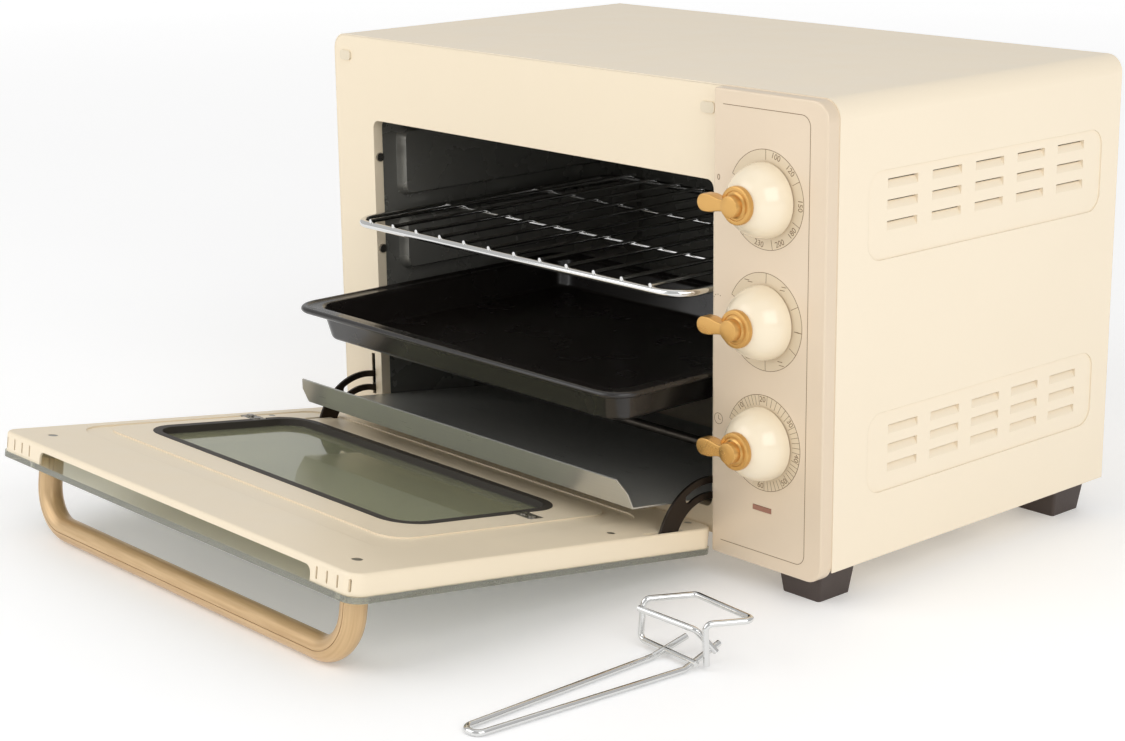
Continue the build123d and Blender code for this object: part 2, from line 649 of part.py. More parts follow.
def handle_half(keep):
    """One half of the bent bar handle, split along its centre plane."""
    face_y = DOOR_GLASS_Y[0]
    route = [(HANDLE_X[0], face_y, HANDLE_Z), (HANDLE_X[0], HANDLE_Y, HANDLE_Z),
             (HANDLE_X[1], HANDLE_Y, HANDLE_Z), (HANDLE_X[1], face_y, HANDLE_Z)]
    bar = wire_rod(route, HANDLE_R, HANDLE_BEND)
    bar -= [rod_y(x, -37, face_y + 1, HANDLE_Z, 2.0) for x in HANDLE_X]
    return opened(split(bar, bisect_by=Plane.XY.offset(HANDLE_Z), keep=keep))


# ---------------------------------------------------------------- loose pieces
def rack_loop(x0, x1, y0, y1, z, bend):
    """Closed rounded loop of the rack's frame wire, along its centre line."""
    return Pos((x0 + x1) / 2, (y0 + y1) / 2, z) * RectangleRounded(x1 - x0, y1 - y0, bend).wire()


def ring_sweep(x0, x1, y0, y1, z, bend, radius):
    """Round wire along a rounded rectangle."""
    loop = rack_loop(x0, x1, y0, y1, z, bend)
    section = Plane(origin=loop @ 0, z_dir=loop % 0) * Circle(radius)
    return sweep(section, path=loop)


def wire_rack():
    """Welded chromed rack: a frame wire with rods from front to back."""
    x0, x1, y0, y1 = RACK
    r = RACK_FRAME_R
    rack = ring_sweep(x0 + r, x1 - r, y0 + r, y1 - r, RACK_Z, 18, r)
    middle = (x0 + x1) / 2
    wire_z = RACK_Z + r + RACK_WIRE_R - 0.65
    rods = []
    for index in range(RACK_WIRES):
        x = middle + (index - (RACK_WIRES - 1) / 2) * RACK_PITCH
        rods.append(rod_y(x, y0 + 1, y1 - 1, wire_z, RACK_WIRE_R))
    for y in (y0 + 90, y1 - 90):
        rods.append(rod_x(x0 + r, x1 - r, y, wire_z - 2 * RACK_WIRE_R + 0.4, RACK_WIRE_R))
    return rack + rods


def baking_tray():
    """Black pan with a flat rim and a rolled edge."""
    x0, x1, y0, y1 = PAN
    rim = 12.5
    roll = 2.2
    floor = PAN_RIM_Z - PAN_DEPTH
    top = PAN_RIM_Z - 0.8
    sheet = plate_xy(x0 + 1, x1 - 1, y0 + 1, y1 - 1, top - 1, top, 20)
    pan = plate_xy(x0 + rim, x1 - rim, y0 + rim, y1 - rim, top, floor, 16, taper=12)
    well = plate_xy(x0 + rim + 1, x1 - rim - 1, y0 + rim + 1, y1 - rim - 1, top + 0.01, floor + 1, 15, taper=12)
    edge = ring_sweep(x0 + roll, x1 - roll, y0 + roll, y1 - roll, PAN_RIM_Z - roll, 18, roll)
    return sheet + pan + edge - well


def crumb_pivot():
    """Centre of the arc that carries the crumb tray from drawn out to home."""
    dy, dz = CRUMB_HOME[0] - CRUMB_OUT[0], CRUMB_HOME[1] - CRUMB_OUT[1]
    rise = 1 / (2 * tan(radians(CRUMB_TILT) / 2))
    return CRUMB_OUT[0] + dy / 2 - dz * rise, CRUMB_OUT[1] + dz / 2 + dy * rise


def crumb_tray():
    """Flat tray with a tall leaning lip, drawn level at home and then drawn out."""
    y, z = CRUMB_HOME
    lip_y, lip_z = CRUMB_LIP
    reach = hypot(lip_y, lip_z)
    across = (-lip_z / reach, lip_y / reach)
    outline = [(y, z), (y + CRUMB_LENGTH, z), (y + CRUMB_LENGTH, z + 1), (y + 0.6, z + 1),
               (y + lip_y - across[0], z + lip_z - across[1]), (y + lip_y, z + lip_z)]
    tray = prism_yz(outline, *CRUMB_X)
    for x in (CRUMB_X[0], CRUMB_X[1]):
        side = 1 if x < 0 else -1
        corner = [(x - side, z + lip_z + 2), (x + side * 7, z + lip_z + 2), (x - side, z + 9)]
        tray -= prism_xz(corner, y + lip_y - 5, y + 5)
    pivot_y, pivot_z = crumb_pivot()
    return turn(tray, pivot_y, pivot_z, -CRUMB_TILT)


def tray_lifter():
    """Bent-wire tool that hooks under a hot tray."""
    low = LIFTER_R + 0.1
    grip = wire_rod([(235, -112, 9), (232, -138, low), (233.5, -284, low), (246, -284, low),
                     (259, -138, low), (256, -106, 9)], LIFTER_R, 5.8)
    hook = wire_rod([(265.5, -126, 3), (265.5, -127, 29), (281, -101, 29), (227, -96, 29), (211, -124, 29),
                     (211, -127, 4.5), (262, -131, 4.5)], LIFTER_R, 4)
    stay = wire_rod([(210.5, -128, 24), (252, -121, 20), (259.5, -112, 6)], LIFTER_R, 5)
    return grip + hook + stay


# ---------------------------------------------------------------- assembly
def build():
    """Every node, by name."""
    nodes = {
        "outer_cover": outer_cover(),
        "back_cover": back_cover(),
        "back_screws": back_screws(),
        "base_plate": base_plate(),
        "front_frame": front_frame(),
        "flange_screws": flange_screws(),
        "frame_bumpers": frame_bumpers(),
        "control_panel": control_panel(),
        "cavity_left_wall": cavity_side_wall(-1),
        "cavity_right_wall": cavity_side_wall(1),
        "cavity_back_wall": cavity_back_wall(),
        "cavity_top_wall": cavity_top_wall(),
        "heater_insulators": heater_insulators(),
        "thermostat": control_body("temperature", 34, 30, 26),
        "function_switch": control_body("function", 36, 32, 34),
        "timer": control_body("timer", 44, 38, 30),
        "indicator_lens": indicator_lens(),
        "indicator_lamp": indicator_lamp(),
        "terminal_block": terminal_block(),
        "cord_gland": cord_gland(),
        "foot_screws": foot_screws(),
        "hinge_bracket_left": hinge_bracket(HINGE_X[0]),
        "hinge_bracket_right": hinge_bracket(HINGE_X[1]),
        "hinge_pins": hinge_pins(),
        "hinge_arm_left": hinge_arm(ARM_X[0]),
        "hinge_arm_right": hinge_arm(ARM_X[1]),
        "hinge_arm_pins": hinge_arm_pins(),
        "door_frame": door_frame(),
        "door_outer_glass": door_outer_glass(),
        "door_inner_glass": door_inner_glass(),
        "door_seal": door_seal(),
        "glass_clips": glass_clips(),
        "clip_screws": clip_screws(),
        "door_screws": door_screws(),
        "handle_front": handle_half(Keep.TOP),
        "handle_back": handle_half(Keep.BOTTOM),
        "handle_screws": handle_screws(),
        "wire_rack": wire_rack(),
        "baking_tray": baking_tray(),
        "crumb_tray": crumb_tray(),
        "tray_lifter": tray_lifter(),
    }
    for name in HEATERS:
        nodes[name] = heater(name)
    for end in FOOT_Y:
        nodes["foot_" + end + "_left"] = foot(-1, end)
        nodes["foot_" + end + "_right"] = foot(1, end)
    for name in DIAL_Z:
        nodes[name + "_shaft"] = dial_shaft(name)
        nodes[name + "_dome"] = dial_dome(name)
        nodes[name + "_lever"] = dial_lever(name)
    return nodes


def main():
    """Build the nodes, centre them and write one STEP each."""
    os.makedirs("parts", exist_ok=True)
    nodes = build()
    boxes = [shape.bounding_box() for shape in nodes.values()]
    x_middle = (min(box.min.X for box in boxes) + max(box.max.X for box in boxes)) / 2
    y_middle = (min(box.min.Y for box in boxes) + max(box.max.Y for box in boxes)) / 2
    z_low = min(box.min.Z for box in boxes)
    print("origin moved by", -x_middle, -y_middle, -z_low)
    print("crumb tray pivot", crumb_pivot())
    for name, shape in nodes.items():
        export_step(Pos(-x_middle, -y_middle, -z_low) * shape, "parts/" + name + ".step")


main()
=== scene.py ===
import json
import logging
import math
from dataclasses import dataclass, field
from enum import Enum
from typing import Any, Optional, Sequence

import bpy
import numpy as np
from mathutils import Matrix, Vector

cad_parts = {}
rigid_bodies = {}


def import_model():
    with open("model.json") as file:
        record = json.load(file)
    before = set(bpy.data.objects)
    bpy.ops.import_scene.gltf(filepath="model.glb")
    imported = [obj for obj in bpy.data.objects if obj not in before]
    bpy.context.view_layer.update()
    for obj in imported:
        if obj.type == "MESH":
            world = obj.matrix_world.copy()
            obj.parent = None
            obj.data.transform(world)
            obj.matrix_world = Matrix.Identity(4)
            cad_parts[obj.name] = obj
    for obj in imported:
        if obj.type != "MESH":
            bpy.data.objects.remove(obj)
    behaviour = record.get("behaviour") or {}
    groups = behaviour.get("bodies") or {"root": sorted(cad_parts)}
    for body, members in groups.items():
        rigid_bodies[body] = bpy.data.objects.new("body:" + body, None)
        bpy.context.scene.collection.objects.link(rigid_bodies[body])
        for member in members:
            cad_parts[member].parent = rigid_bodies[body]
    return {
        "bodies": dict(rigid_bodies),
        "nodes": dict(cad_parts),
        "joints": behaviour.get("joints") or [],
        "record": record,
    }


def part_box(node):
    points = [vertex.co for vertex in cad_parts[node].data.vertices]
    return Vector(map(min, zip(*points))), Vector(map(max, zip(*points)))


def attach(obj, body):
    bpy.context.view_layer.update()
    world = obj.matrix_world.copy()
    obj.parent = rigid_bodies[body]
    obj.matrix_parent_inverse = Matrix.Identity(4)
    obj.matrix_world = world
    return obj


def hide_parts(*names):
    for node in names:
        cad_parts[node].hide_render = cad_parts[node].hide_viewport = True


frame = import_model()

LOG = logging.getLogger("oven")
MM = 0.001


# -------- shader expressions
class Value:
    """A shader socket that Python arithmetic extends with Math nodes."""

    def __init__(self, graph: "Graph", socket: bpy.types.NodeSocket) -> None:
        """Keep the socket and the graph it belongs to."""
        self.graph = graph
        self.socket = socket

    def math(self, operation: str, *others: Any, swap: bool = False) -> "Value":
        """Add one Math node.

        Args:
            operation: name of the Math node's operation.
            others: further operands, sockets or numbers.
            swap: put this value last, for a reflected operator.

        Returns:
            The node's result.
        """
        operands = (*others, self) if swap else (self, *others)
        node = self.graph.add("ShaderNodeMath", {"operation": operation})
        for socket, operand in zip(node.inputs, operands):
            self.graph.feed(socket, operand)
        return Value(self.graph, node.outputs[0])

    def __add__(self, other: Any) -> "Value":
        """Sum."""
        return self.math("ADD", other)

    def __sub__(self, other: Any) -> "Value":
        """Difference."""
        return self.math("SUBTRACT", other)

    def __rsub__(self, other: Any) -> "Value":
        """Difference from a number."""
        return self.math("SUBTRACT", other, swap=True)

    def __mul__(self, other: Any) -> "Value":
        """Product."""
        return self.math("MULTIPLY", other)

    __radd__ = __add__
    __rmul__ = __mul__


class Graph:
    """Node tree of one material."""

    def __init__(self, name: str) -> None:
        """Start an empty material."""
        self.material = bpy.data.materials.new(name)
        self.material.use_nodes = True
        self.tree = self.material.node_tree
        self.tree.nodes.clear()

    def add(self, kind: str, settings: Optional[dict] = None,
            values: Optional[dict] = None) -> bpy.types.Node:
        """Add a node.

        Args:
            kind: the node's type.
            settings: attributes, set first; stops fills a colour ramp.
            values: numbers or Values for its sockets, by name or place.

        Returns:
            The node.
        """
        node = self.tree.nodes.new(kind)
        for key, value in (settings or {}).items():
            if key == "stops":
                for element, (place, shade) in zip(self._stops(node, len(value)), value):
                    element.position = place
                    element.color = (shade, shade, shade, 1.0)
            else:
                setattr(node, key, value)
        for key, value in (values or {}).items():
            self.feed(node.inputs[key], value)
        return node

    @staticmethod
    def _stops(node: bpy.types.Node, count: int) -> Sequence[Any]:
        """Give a ramp the wanted number of stops."""
        elements = node.color_ramp.elements
        while len(elements) < count:
            elements.new(0.5)
        return elements

    def feed(self, socket: bpy.types.NodeSocket, value: Any) -> None:
        """Link a Value to a socket, or set a number on it."""
        if isinstance(value, Value):
            self.tree.links.new(value.socket, socket)
        else:
            socket.default_value = value

    def noise(self, scale: Sequence[float], detail: float = 3.0, space: str = "Object") -> Value:
        """Noise stretched by a scale along each axis.

        Args:
            scale: repeats per metre along X, Y and Z.
            detail: octaves.
            space: Object coordinates or UV.

        Returns:
            The noise, about 0.5 on average.
        """
        place = self.add("ShaderNodeTexCoord").outputs[space]
        mapping = self.add("ShaderNodeMapping", None, {"Vector": Value(self, place), "Scale": tuple(scale)})
        vector = Value(self, mapping.outputs[0])
        node = self.add("ShaderNodeTexNoise", None, {"Vector": vector, "Scale": 1.0, "Detail": detail})
        return Value(self, node.outputs[0])

    def ramp(self, value: Value, *stops: tuple[float, float]) -> Value:
        """Grey curve through the given stops."""
        node = self.add("ShaderNodeValToRGB", {"stops": stops}, {"Fac": value})
        return Value(self, node.outputs[0])

    def blend(self, factor: Any, first: Any, second: Any) -> Value:
        """Colour between two colours."""
        node = self.add("ShaderNodeMix", {"data_type": "RGBA"}, {0: factor, 6: first, 7: second})
        return Value(self, node.outputs[2])

    def bumped(self, height: Value, distance: float, strength: float, edge: float) -> Value:
        """Normal from a height, over softened edges where edge is above zero."""
        values = {"Height": height, "Distance": distance, "Strength": strength}
        if edge > 0:
            soft = self.add("ShaderNodeBevel", {"samples": 4}, {"Radius": edge})
            values["Normal"] = Value(self, soft.outputs[0])
        node = self.add("ShaderNodeBump", None, values)
        return Value(self, node.outputs[0])


# -------- finishes
class Texture(Enum):
    """Kinds of surface texture."""

    PEEL = "sprayed or baked paint"
    BRUSHED = "brushed or rolled along X"
    MOULDED = "fine moulded plastic"
    WOOD = "wood grain along the piece's own U"
    POLISHED = "polished, with faint handling marks"


@dataclass(frozen=True)
class Finish:
    """One finish of the oven: colour, gloss and texture."""

    name: str
    colour: tuple[float, float, float]
    roughness: float
    texture: Texture
    second: Optional[tuple[float, float, float]] = None
    metallic: float = 0.0
    coat: float = 0.0
    transmission: float = 0.0
    alpha: float = 1.0
    ior: float = 1.5
    edge: float = 0.0
    relief: float = 0.25
    spread: float = 0.12

    def linear(self, colour: Sequence[float]) -> tuple[float, float, float, float]:
        """sRGB colour as linear light, with alpha 1."""
        values = np.asarray(colour, dtype=float)
        light = np.where(values <= 0.04045, values / 12.92, ((values + 0.055) / 1.055) ** 2.4)
        return (*light.tolist(), 1.0)

    def make(self) -> bpy.types.Material:
        """Build the material.

        Returns:
            The finished material.
        """
        graph = Graph(self.name)
        height, tone, wear = self.fields(graph)
        base = self.linear(self.colour)
        other = self.linear(self.second or tuple(c * 0.86 for c in self.colour))
        shader = graph.add("ShaderNodeBsdfPrincipled", None, {
            "Base Color": graph.blend(tone, base, other),
            "Roughness": wear * self.spread + (self.roughness - 0.5 * self.spread),
            "Metallic": self.metallic,
            "Coat Weight": self.coat,
            "Coat Roughness": 0.12,
            "IOR": self.ior,
            "Transmission Weight": self.transmission,
            "Alpha": self.alpha,
            "Normal": graph.bumped(height, 0.0004, self.relief, self.edge),
        })
        output = graph.add("ShaderNodeOutputMaterial")
        graph.feed(output.inputs[0], Value(graph, shader.outputs[0]))
        return graph.material

    def fields(self, graph: Graph) -> tuple[Value, Value, Value]:
        """Height, colour tone and wear over the surface, each from 0 to 1."""
        cloud = graph.noise((9, 9, 9), 4)
        smudge = graph.ramp(graph.noise((28, 28, 28), 5), (0.35, 0.0), (0.75, 1.0))
        if self.texture is Texture.PEEL:
            peel = graph.noise((650, 650, 650), 2)
            return peel, cloud * 0.35 + graph.noise((260, 260, 260)) * 0.1, smudge
        if self.texture is Texture.BRUSHED:
            streak = graph.noise((14, 2400, 2400), 2)
            return streak, streak * 0.35 + cloud * 0.4, streak * 0.5 + smudge * 0.5
        if self.texture is Texture.MOULDED:
            return graph.noise((1500, 1500, 1500), 3), cloud * 0.3, smudge
        if self.texture is Texture.WOOD:
            fibre = graph.noise((26, 900, 1), 4, "UV")
            band = graph.noise((5, 150, 1), 3, "UV")
            grain = graph.ramp(fibre * 0.55 + band * 0.55, (0.36, 0.0), (0.72, 1.0))
            return fibre, grain, fibre
        return graph.noise((120, 120, 120), 4), cloud * 0.2, smudge


FINISHES: dict[str, Finish] = {
    "cover_paint": Finish("cream_cover_paint", (0.960, 0.905, 0.810), 0.42, Texture.PEEL,
                          (0.930, 0.870, 0.770), coat=0.12, edge=0.0004, relief=0.10),
    "front_paint": Finish("cream_front_paint", (0.950, 0.890, 0.785), 0.38, Texture.PEEL,
                          (0.930, 0.868, 0.755), coat=0.15, edge=0.0005, relief=0.10),
    "panel_plastic": Finish("pearl_panel_plastic", (0.895, 0.822, 0.725), 0.34, Texture.PEEL,
                            (0.865, 0.790, 0.690), metallic=0.12, coat=0.1, relief=0.08),
    "dome_plastic": Finish("cream_dome_plastic", (0.950, 0.895, 0.790), 0.20, Texture.POLISHED,
                           (0.930, 0.870, 0.760), coat=0.5, relief=0.03),
    "gold_metal": Finish("satin_gold", (0.850, 0.665, 0.390), 0.32, Texture.MOULDED,
                         (0.760, 0.580, 0.320), metallic=0.75, relief=0.12),
    "handle_plastic": Finish("wood_tone_handle", (0.870, 0.745, 0.570), 0.34, Texture.WOOD,
                             (0.760, 0.625, 0.450), metallic=0.45, coat=0.1, relief=0.15),
    "cavity_enamel": Finish("grey_cavity_enamel", (0.520, 0.515, 0.490), 0.28, Texture.PEEL,
                            (0.440, 0.435, 0.415), metallic=0.4, edge=0.0004, relief=0.18),
    "chrome_wire": Finish("bright_chrome", (0.880, 0.880, 0.875), 0.10, Texture.POLISHED,
                          (0.820, 0.820, 0.815), metallic=1.0, relief=0.02, spread=0.08),
    "pan_enamel": Finish("black_pan_coating", (0.110, 0.095, 0.085), 0.26, Texture.PEEL,
                         (0.075, 0.065, 0.058), coat=0.25, relief=0.16),
    "crumb_sheet": Finish("rolled_grey_sheet", (0.800, 0.800, 0.775), 0.34, Texture.BRUSHED,
                          (0.700, 0.700, 0.675), metallic=0.65, edge=0.0003, relief=0.14, spread=0.2),
    "outer_glass": Finish("outer_door_glass", (0.940, 0.940, 0.880), 0.04, Texture.POLISHED,
                          (0.920, 0.925, 0.860), transmission=0.82, ior=1.45, relief=0.01, spread=0.04),
    "inner_glass": Finish("inner_door_glass", (0.800, 0.805, 0.690), 0.05, Texture.POLISHED,
                          (0.770, 0.780, 0.665), transmission=0.75, ior=1.45, relief=0.01, spread=0.05),
    "seal_rubber": Finish("dark_seal_rubber", (0.225, 0.205, 0.180), 0.62, Texture.MOULDED, relief=0.3),
    "foot_plastic": Finish("brown_foot_plastic", (0.270, 0.225, 0.205), 0.55, Texture.MOULDED,
                           (0.215, 0.180, 0.165), edge=0.0006, relief=0.35),
    "heater_steel": Finish("heater_sheath", (0.420, 0.400, 0.375), 0.40, Texture.BRUSHED,
                           (0.300, 0.260, 0.225), metallic=0.85, relief=0.15),
    "insulator_ceramic": Finish("insulator_ceramic", (0.880, 0.860, 0.820), 0.55, Texture.MOULDED,
                                relief=0.3),
    "screw_steel": Finish("zinc_screw_steel", (0.660, 0.645, 0.610), 0.30, Texture.BRUSHED,
                          (0.520, 0.500, 0.470), metallic=0.95, relief=0.12),
    "dark_steel": Finish("blackened_steel", (0.230, 0.200, 0.175), 0.40, Texture.BRUSHED,
                         (0.160, 0.140, 0.125), metallic=0.8, edge=0.0003, relief=0.15),
    "switch_plastic": Finish("black_switch_plastic", (0.150, 0.150, 0.150), 0.50, Texture.MOULDED,
                             relief=0.3),
    "lens_plastic": Finish("tinted_lens", (0.620, 0.430, 0.360), 0.30, Texture.MOULDED,
                           coat=0.3, relief=0.1),
    "bumper": Finish("cream_bumper_plastic", (0.900, 0.850, 0.755), 0.45, Texture.MOULDED,
                     (0.870, 0.815, 0.715), relief=0.15),
    "lamp_glass": Finish("neon_glass", (0.900, 0.650, 0.500), 0.12, Texture.POLISHED, relief=0.02),
    "print": Finish("brown_print_ink", (0.520, 0.420, 0.310), 0.50, Texture.MOULDED,
                    (0.470, 0.375, 0.270), relief=0.05),
    "tint": Finish("dial_band_tint", (0.868, 0.800, 0.690), 0.40, Texture.PEEL,
                   (0.850, 0.780, 0.668), metallic=0.1, relief=0.06),
}


OWN_FINISH: dict[str, str] = {"frame_bumpers": "bumper"}


# -------- surfaces
def unit(vectors: np.ndarray) -> np.ndarray:
    """Vectors divided by their lengths."""
    return vectors / np.linalg.norm(vectors, axis=-1, keepdims=True)


def grid_faces(rows: int, columns: int, closed_rows: bool) -> np.ndarray:
    """Quads of a grid whose columns run round, and whose rows may close too."""
    count = rows if closed_rows else rows - 1
    row, column = np.meshgrid(np.arange(count), np.arange(columns), indexing="ij")
    next_row, next_column = (row + 1) % rows, (column + 1) % columns
    corners = (row * columns + column, row * columns + next_column,
               next_row * columns + next_column, next_row * columns + column)
    return np.stack(corners, axis=-1).reshape(-1, 4)


def surface(name: str, rings: np.ndarray, closed: bool = False, uv: Optional[np.ndarray] = None,
            smooth: float = 35.0) -> bpy.types.Object:
    """Closed mesh from rings of points; open ends get a flat cap.

    Args:
        name: the piece's name.
        rings: points, rows by columns by 3, each row one ring.
        closed: the last ring joins the first.
        uv: length and width coordinates of every point, for a grain.
        smooth: edges sharper than this many degrees stay sharp.

    Returns:
        The new object, with its normals outwards.
    """
    rows, columns = rings.shape[:2]
    faces = grid_faces(rows, columns, closed).tolist()
    if not closed:
        faces.append(list(range(columns))[::-1])
        faces.append(list(range((rows - 1) * columns, rows * columns)))
    mesh = bpy.data.meshes.new(name)
    mesh.from_pydata(rings.reshape(-1, 3).tolist(), [], faces)
    mesh.update()
    if signed_volume(mesh) < 0:
        mesh.flip_normals()
    if uv is not None:
        layer = mesh.uv_layers.new(name="grain")
        corner = np.empty(len(mesh.loops), dtype=np.int64)
        mesh.loops.foreach_get("vertex_index", corner)
        layer.data.foreach_set("uv", uv.reshape(-1, 2)[corner].astype(np.float32).ravel())
    mesh.shade_smooth()
    mesh.set_sharp_from_angle(angle=math.radians(smooth))
    piece = bpy.data.objects.new(name, mesh)
    bpy.context.scene.collection.objects.link(piece)
    return piece


def signed_volume(mesh: bpy.types.Mesh) -> float:
    """Six times the volume that a closed mesh holds, negative when it faces inwards."""
    mesh.calc_loop_triangles()
    corners = np.empty(len(mesh.loop_triangles) * 3, dtype=np.int64)
    mesh.loop_triangles.foreach_get("vertices", corners)
    points = np.empty(len(mesh.vertices) * 3)
    mesh.vertices.foreach_get("co", points)
    triangles = points.reshape(-1, 3)[corners].reshape(-1, 3, 3)
    triangles = triangles - points.reshape(-1, 3).mean(axis=0)
    return float(np.einsum("ij,ij->i", triangles[:, 0], np.cross(triangles[:, 1], triangles[:, 2])).sum())


def joined(name: str, pieces: Sequence[bpy.types.Object]) -> bpy.types.Object:
    """One object from several, as separate closed shells."""
    with bpy.context.temp_override(active_object=pieces[0], selected_editable_objects=list(pieces)):
        bpy.ops.object.join()
    pieces[0].name = name
    return pieces[0]


def circle(radius: float, count: int = 16) -> np.ndarray:
    """Circle of points, counted round once."""
    angle = np.linspace(0, 2 * np.pi, count, endpoint=False)
    return radius * np.stack([np.cos(angle), np.sin(angle)], axis=-1)


def strip(half_width: float, half_thickness: float) -> np.ndarray:
    """Section of a flat strip."""
    return np.array([[-half_width, -half_thickness], [half_width, -half_thickness],
                     [half_width, half_thickness], [-half_width, half_thickness]])


def carry(path: np.ndarray, section: np.ndarray, axis: Sequence[float], closed: bool = False) -> np.ndarray:
    """Carry a flat section along a path.

    At each path point the section's first coordinate lies along axis cross tangent, and its
    second along the part of axis that is square to the tangent.

    Args:
        path: points along the path.
        section: the section's outline, points by 2.
        axis: direction that is never in line with the path.
        closed: the path ends where it starts.

    Returns:
        Rings of points, one for each path point.
    """
    if closed:
        tangent = np.roll(path, -1, axis=0) - np.roll(path, 1, axis=0)
    else:
        tangent = np.gradient(path, axis=0)
    tangent = unit(tangent)
    side = unit(np.cross(np.broadcast_to(np.asarray(axis, dtype=float), tangent.shape), tangent))
    rise = np.cross(tangent, side)
    return path[:, None] + section[None, :, :1] * side[:, None] + section[None, :, 1:] * rise[:, None]


def bent(points: Sequence[Sequence[float]], radius: float, steps: int = 9,
         spacing: float = 0.02) -> np.ndarray:
    """Route of straight runs whose corners are rounded by arcs.

    Each arc is centred on the corner's bisector, and is swept from one tangent point to the other.

    Args:
        points: the route's corners.
        radius: radius of every bend.
        steps: points on each bend.
        spacing: longest step on the straight runs.

    Returns:
        Points along the route.
    """
    corners = np.asarray(points, dtype=float)
    pieces = [corners[:1]]
    for before, corner, after in zip(corners[:-2], corners[1:-1], corners[2:]):
        back, ahead = unit(before - corner), unit(after - corner)
        half = 0.5 * math.acos(float(np.clip(back @ ahead, -1, 1)))
        reach = radius / math.tan(half)
        centre = corner + unit(back + ahead) * radius / math.sin(half)
        start, end = corner + back * reach - centre, corner + ahead * reach - centre
        turn = math.pi - 2 * half
        share = np.linspace(0, 1, steps)[:, None]
        swept = np.sin((1 - share) * turn) * start + np.sin(share * turn) * end
        pieces.append(centre + swept / math.sin(turn))
    pieces.append(corners[-1:])
    route = np.concatenate(pieces)
    gaps = np.linalg.norm(np.diff(route, axis=0), axis=1)
    counts = np.maximum(1, np.ceil(gaps / spacing).astype(int))
    place = np.concatenate([[0.0], np.cumsum(gaps)])
    spans = zip(place[:-1], place[1:], counts)
    fine = np.concatenate([np.linspace(a, b, n, endpoint=False) for a, b, n in spans])
    fine = np.append(fine, place[-1])
    return np.stack([np.interp(fine, place, route[:, k]) for k in range(3)], axis=-1)


def wire(name: str, path: np.ndarray, radius: float, axis: Sequence[float], closed: bool = False,
         sides: int = 14) -> bpy.types.Object:
    """Round wire: a circle carried along a path."""
    return surface(name, carry(path, circle(radius, sides), axis, closed), closed)


def rounded_rings(half_x: np.ndarray, half_y: np.ndarray, radius: np.ndarray, height: np.ndarray,
                  centre: Sequence[float], per_corner: int = 12) -> np.ndarray:
    """Stack of level rounded rectangles.

    Each corner is a quarter circle of its ring's radius about a point drawn in from the corner.

    Args:
        half_x: half widths, one for each ring.
        half_y: half depths.
        radius: corner radii.
        height: heights.
        centre: X and Y of the middle.
        per_corner: points on each corner.

    Returns:
        Rings of points.
    """
    angle = np.linspace(0, np.pi / 2, per_corner)[None, :] + np.arange(4)[:, None] * np.pi / 2
    angle = angle.reshape(-1)
    middle = np.repeat(np.arange(4) * np.pi / 2 + np.pi / 4, per_corner)
    sign_x, sign_y = np.sign(np.cos(middle)), np.sign(np.sin(middle))
    x = sign_x * (half_x - radius)[:, None] + radius[:, None] * np.cos(angle) + centre[0]
    y = sign_y * (half_y - radius)[:, None] + radius[:, None] * np.sin(angle) + centre[1]
    z = np.broadcast_to(height[:, None], x.shape)
    return np.stack([x, y, z], axis=-1)


def turned(name: str, profile: np.ndarray, centre: Sequence[float], count: int = 72) -> bpy.types.Object:
    """Surface of revolution about a line along Y.

    The profile's radius and Y are turned through a full circle.

    Args:
        name: the piece's name.
        profile: radius and Y of each ring.
        centre: X and Z of the line.
        count: points round.

    Returns:
        The new object.
    """
    angle = np.linspace(0, 2 * np.pi, count, endpoint=False)
    x = centre[0] + profile[:, :1] * np.cos(angle)
    z = centre[1] + profile[:, :1] * np.sin(angle)
    y = np.broadcast_to(profile[:, 1:], x.shape)
    return surface(name, np.stack([x, y, z], axis=-1))


def slab(name: str, outline: np.ndarray, low: float, high: float, bevel: float) -> bpy.types.Object:
    """Flat shape in X and Z with a thickness along Y and rounded edges.

    The outline is repeated through the thickness, drawn in along its own normals by a quarter
    circle's amount at each face.

    Args:
        name: the piece's name.
        outline: points in X and Z, counted round once.
        low: Y of the face in front.
        high: Y of the face behind.
        bevel: radius of the edges.

    Returns:
        The new object.
    """
    along = unit(np.roll(outline, -1, axis=0) - np.roll(outline, 1, axis=0))
    inward = np.stack([-along[:, 1], along[:, 0]], axis=-1)
    centre = outline.mean(axis=0)
    inward = np.where(((centre - outline) * inward).sum(axis=1).mean() > 0, inward, -inward)
    quarter = np.linspace(0, np.pi / 2, 5)
    inset = bevel * (1 - np.sin(quarter))
    depth = bevel * (1 - np.cos(quarter))
    inset = np.concatenate([inset, inset[::-1]])
    place = np.concatenate([low + depth, (high - depth)[::-1]])
    flat = outline[None] + inset[:, None, None] * inward[None]
    y = np.broadcast_to(place[:, None], flat.shape[:2])
    return surface(name, np.stack([flat[..., 0], y, flat[..., 1]], axis=-1))


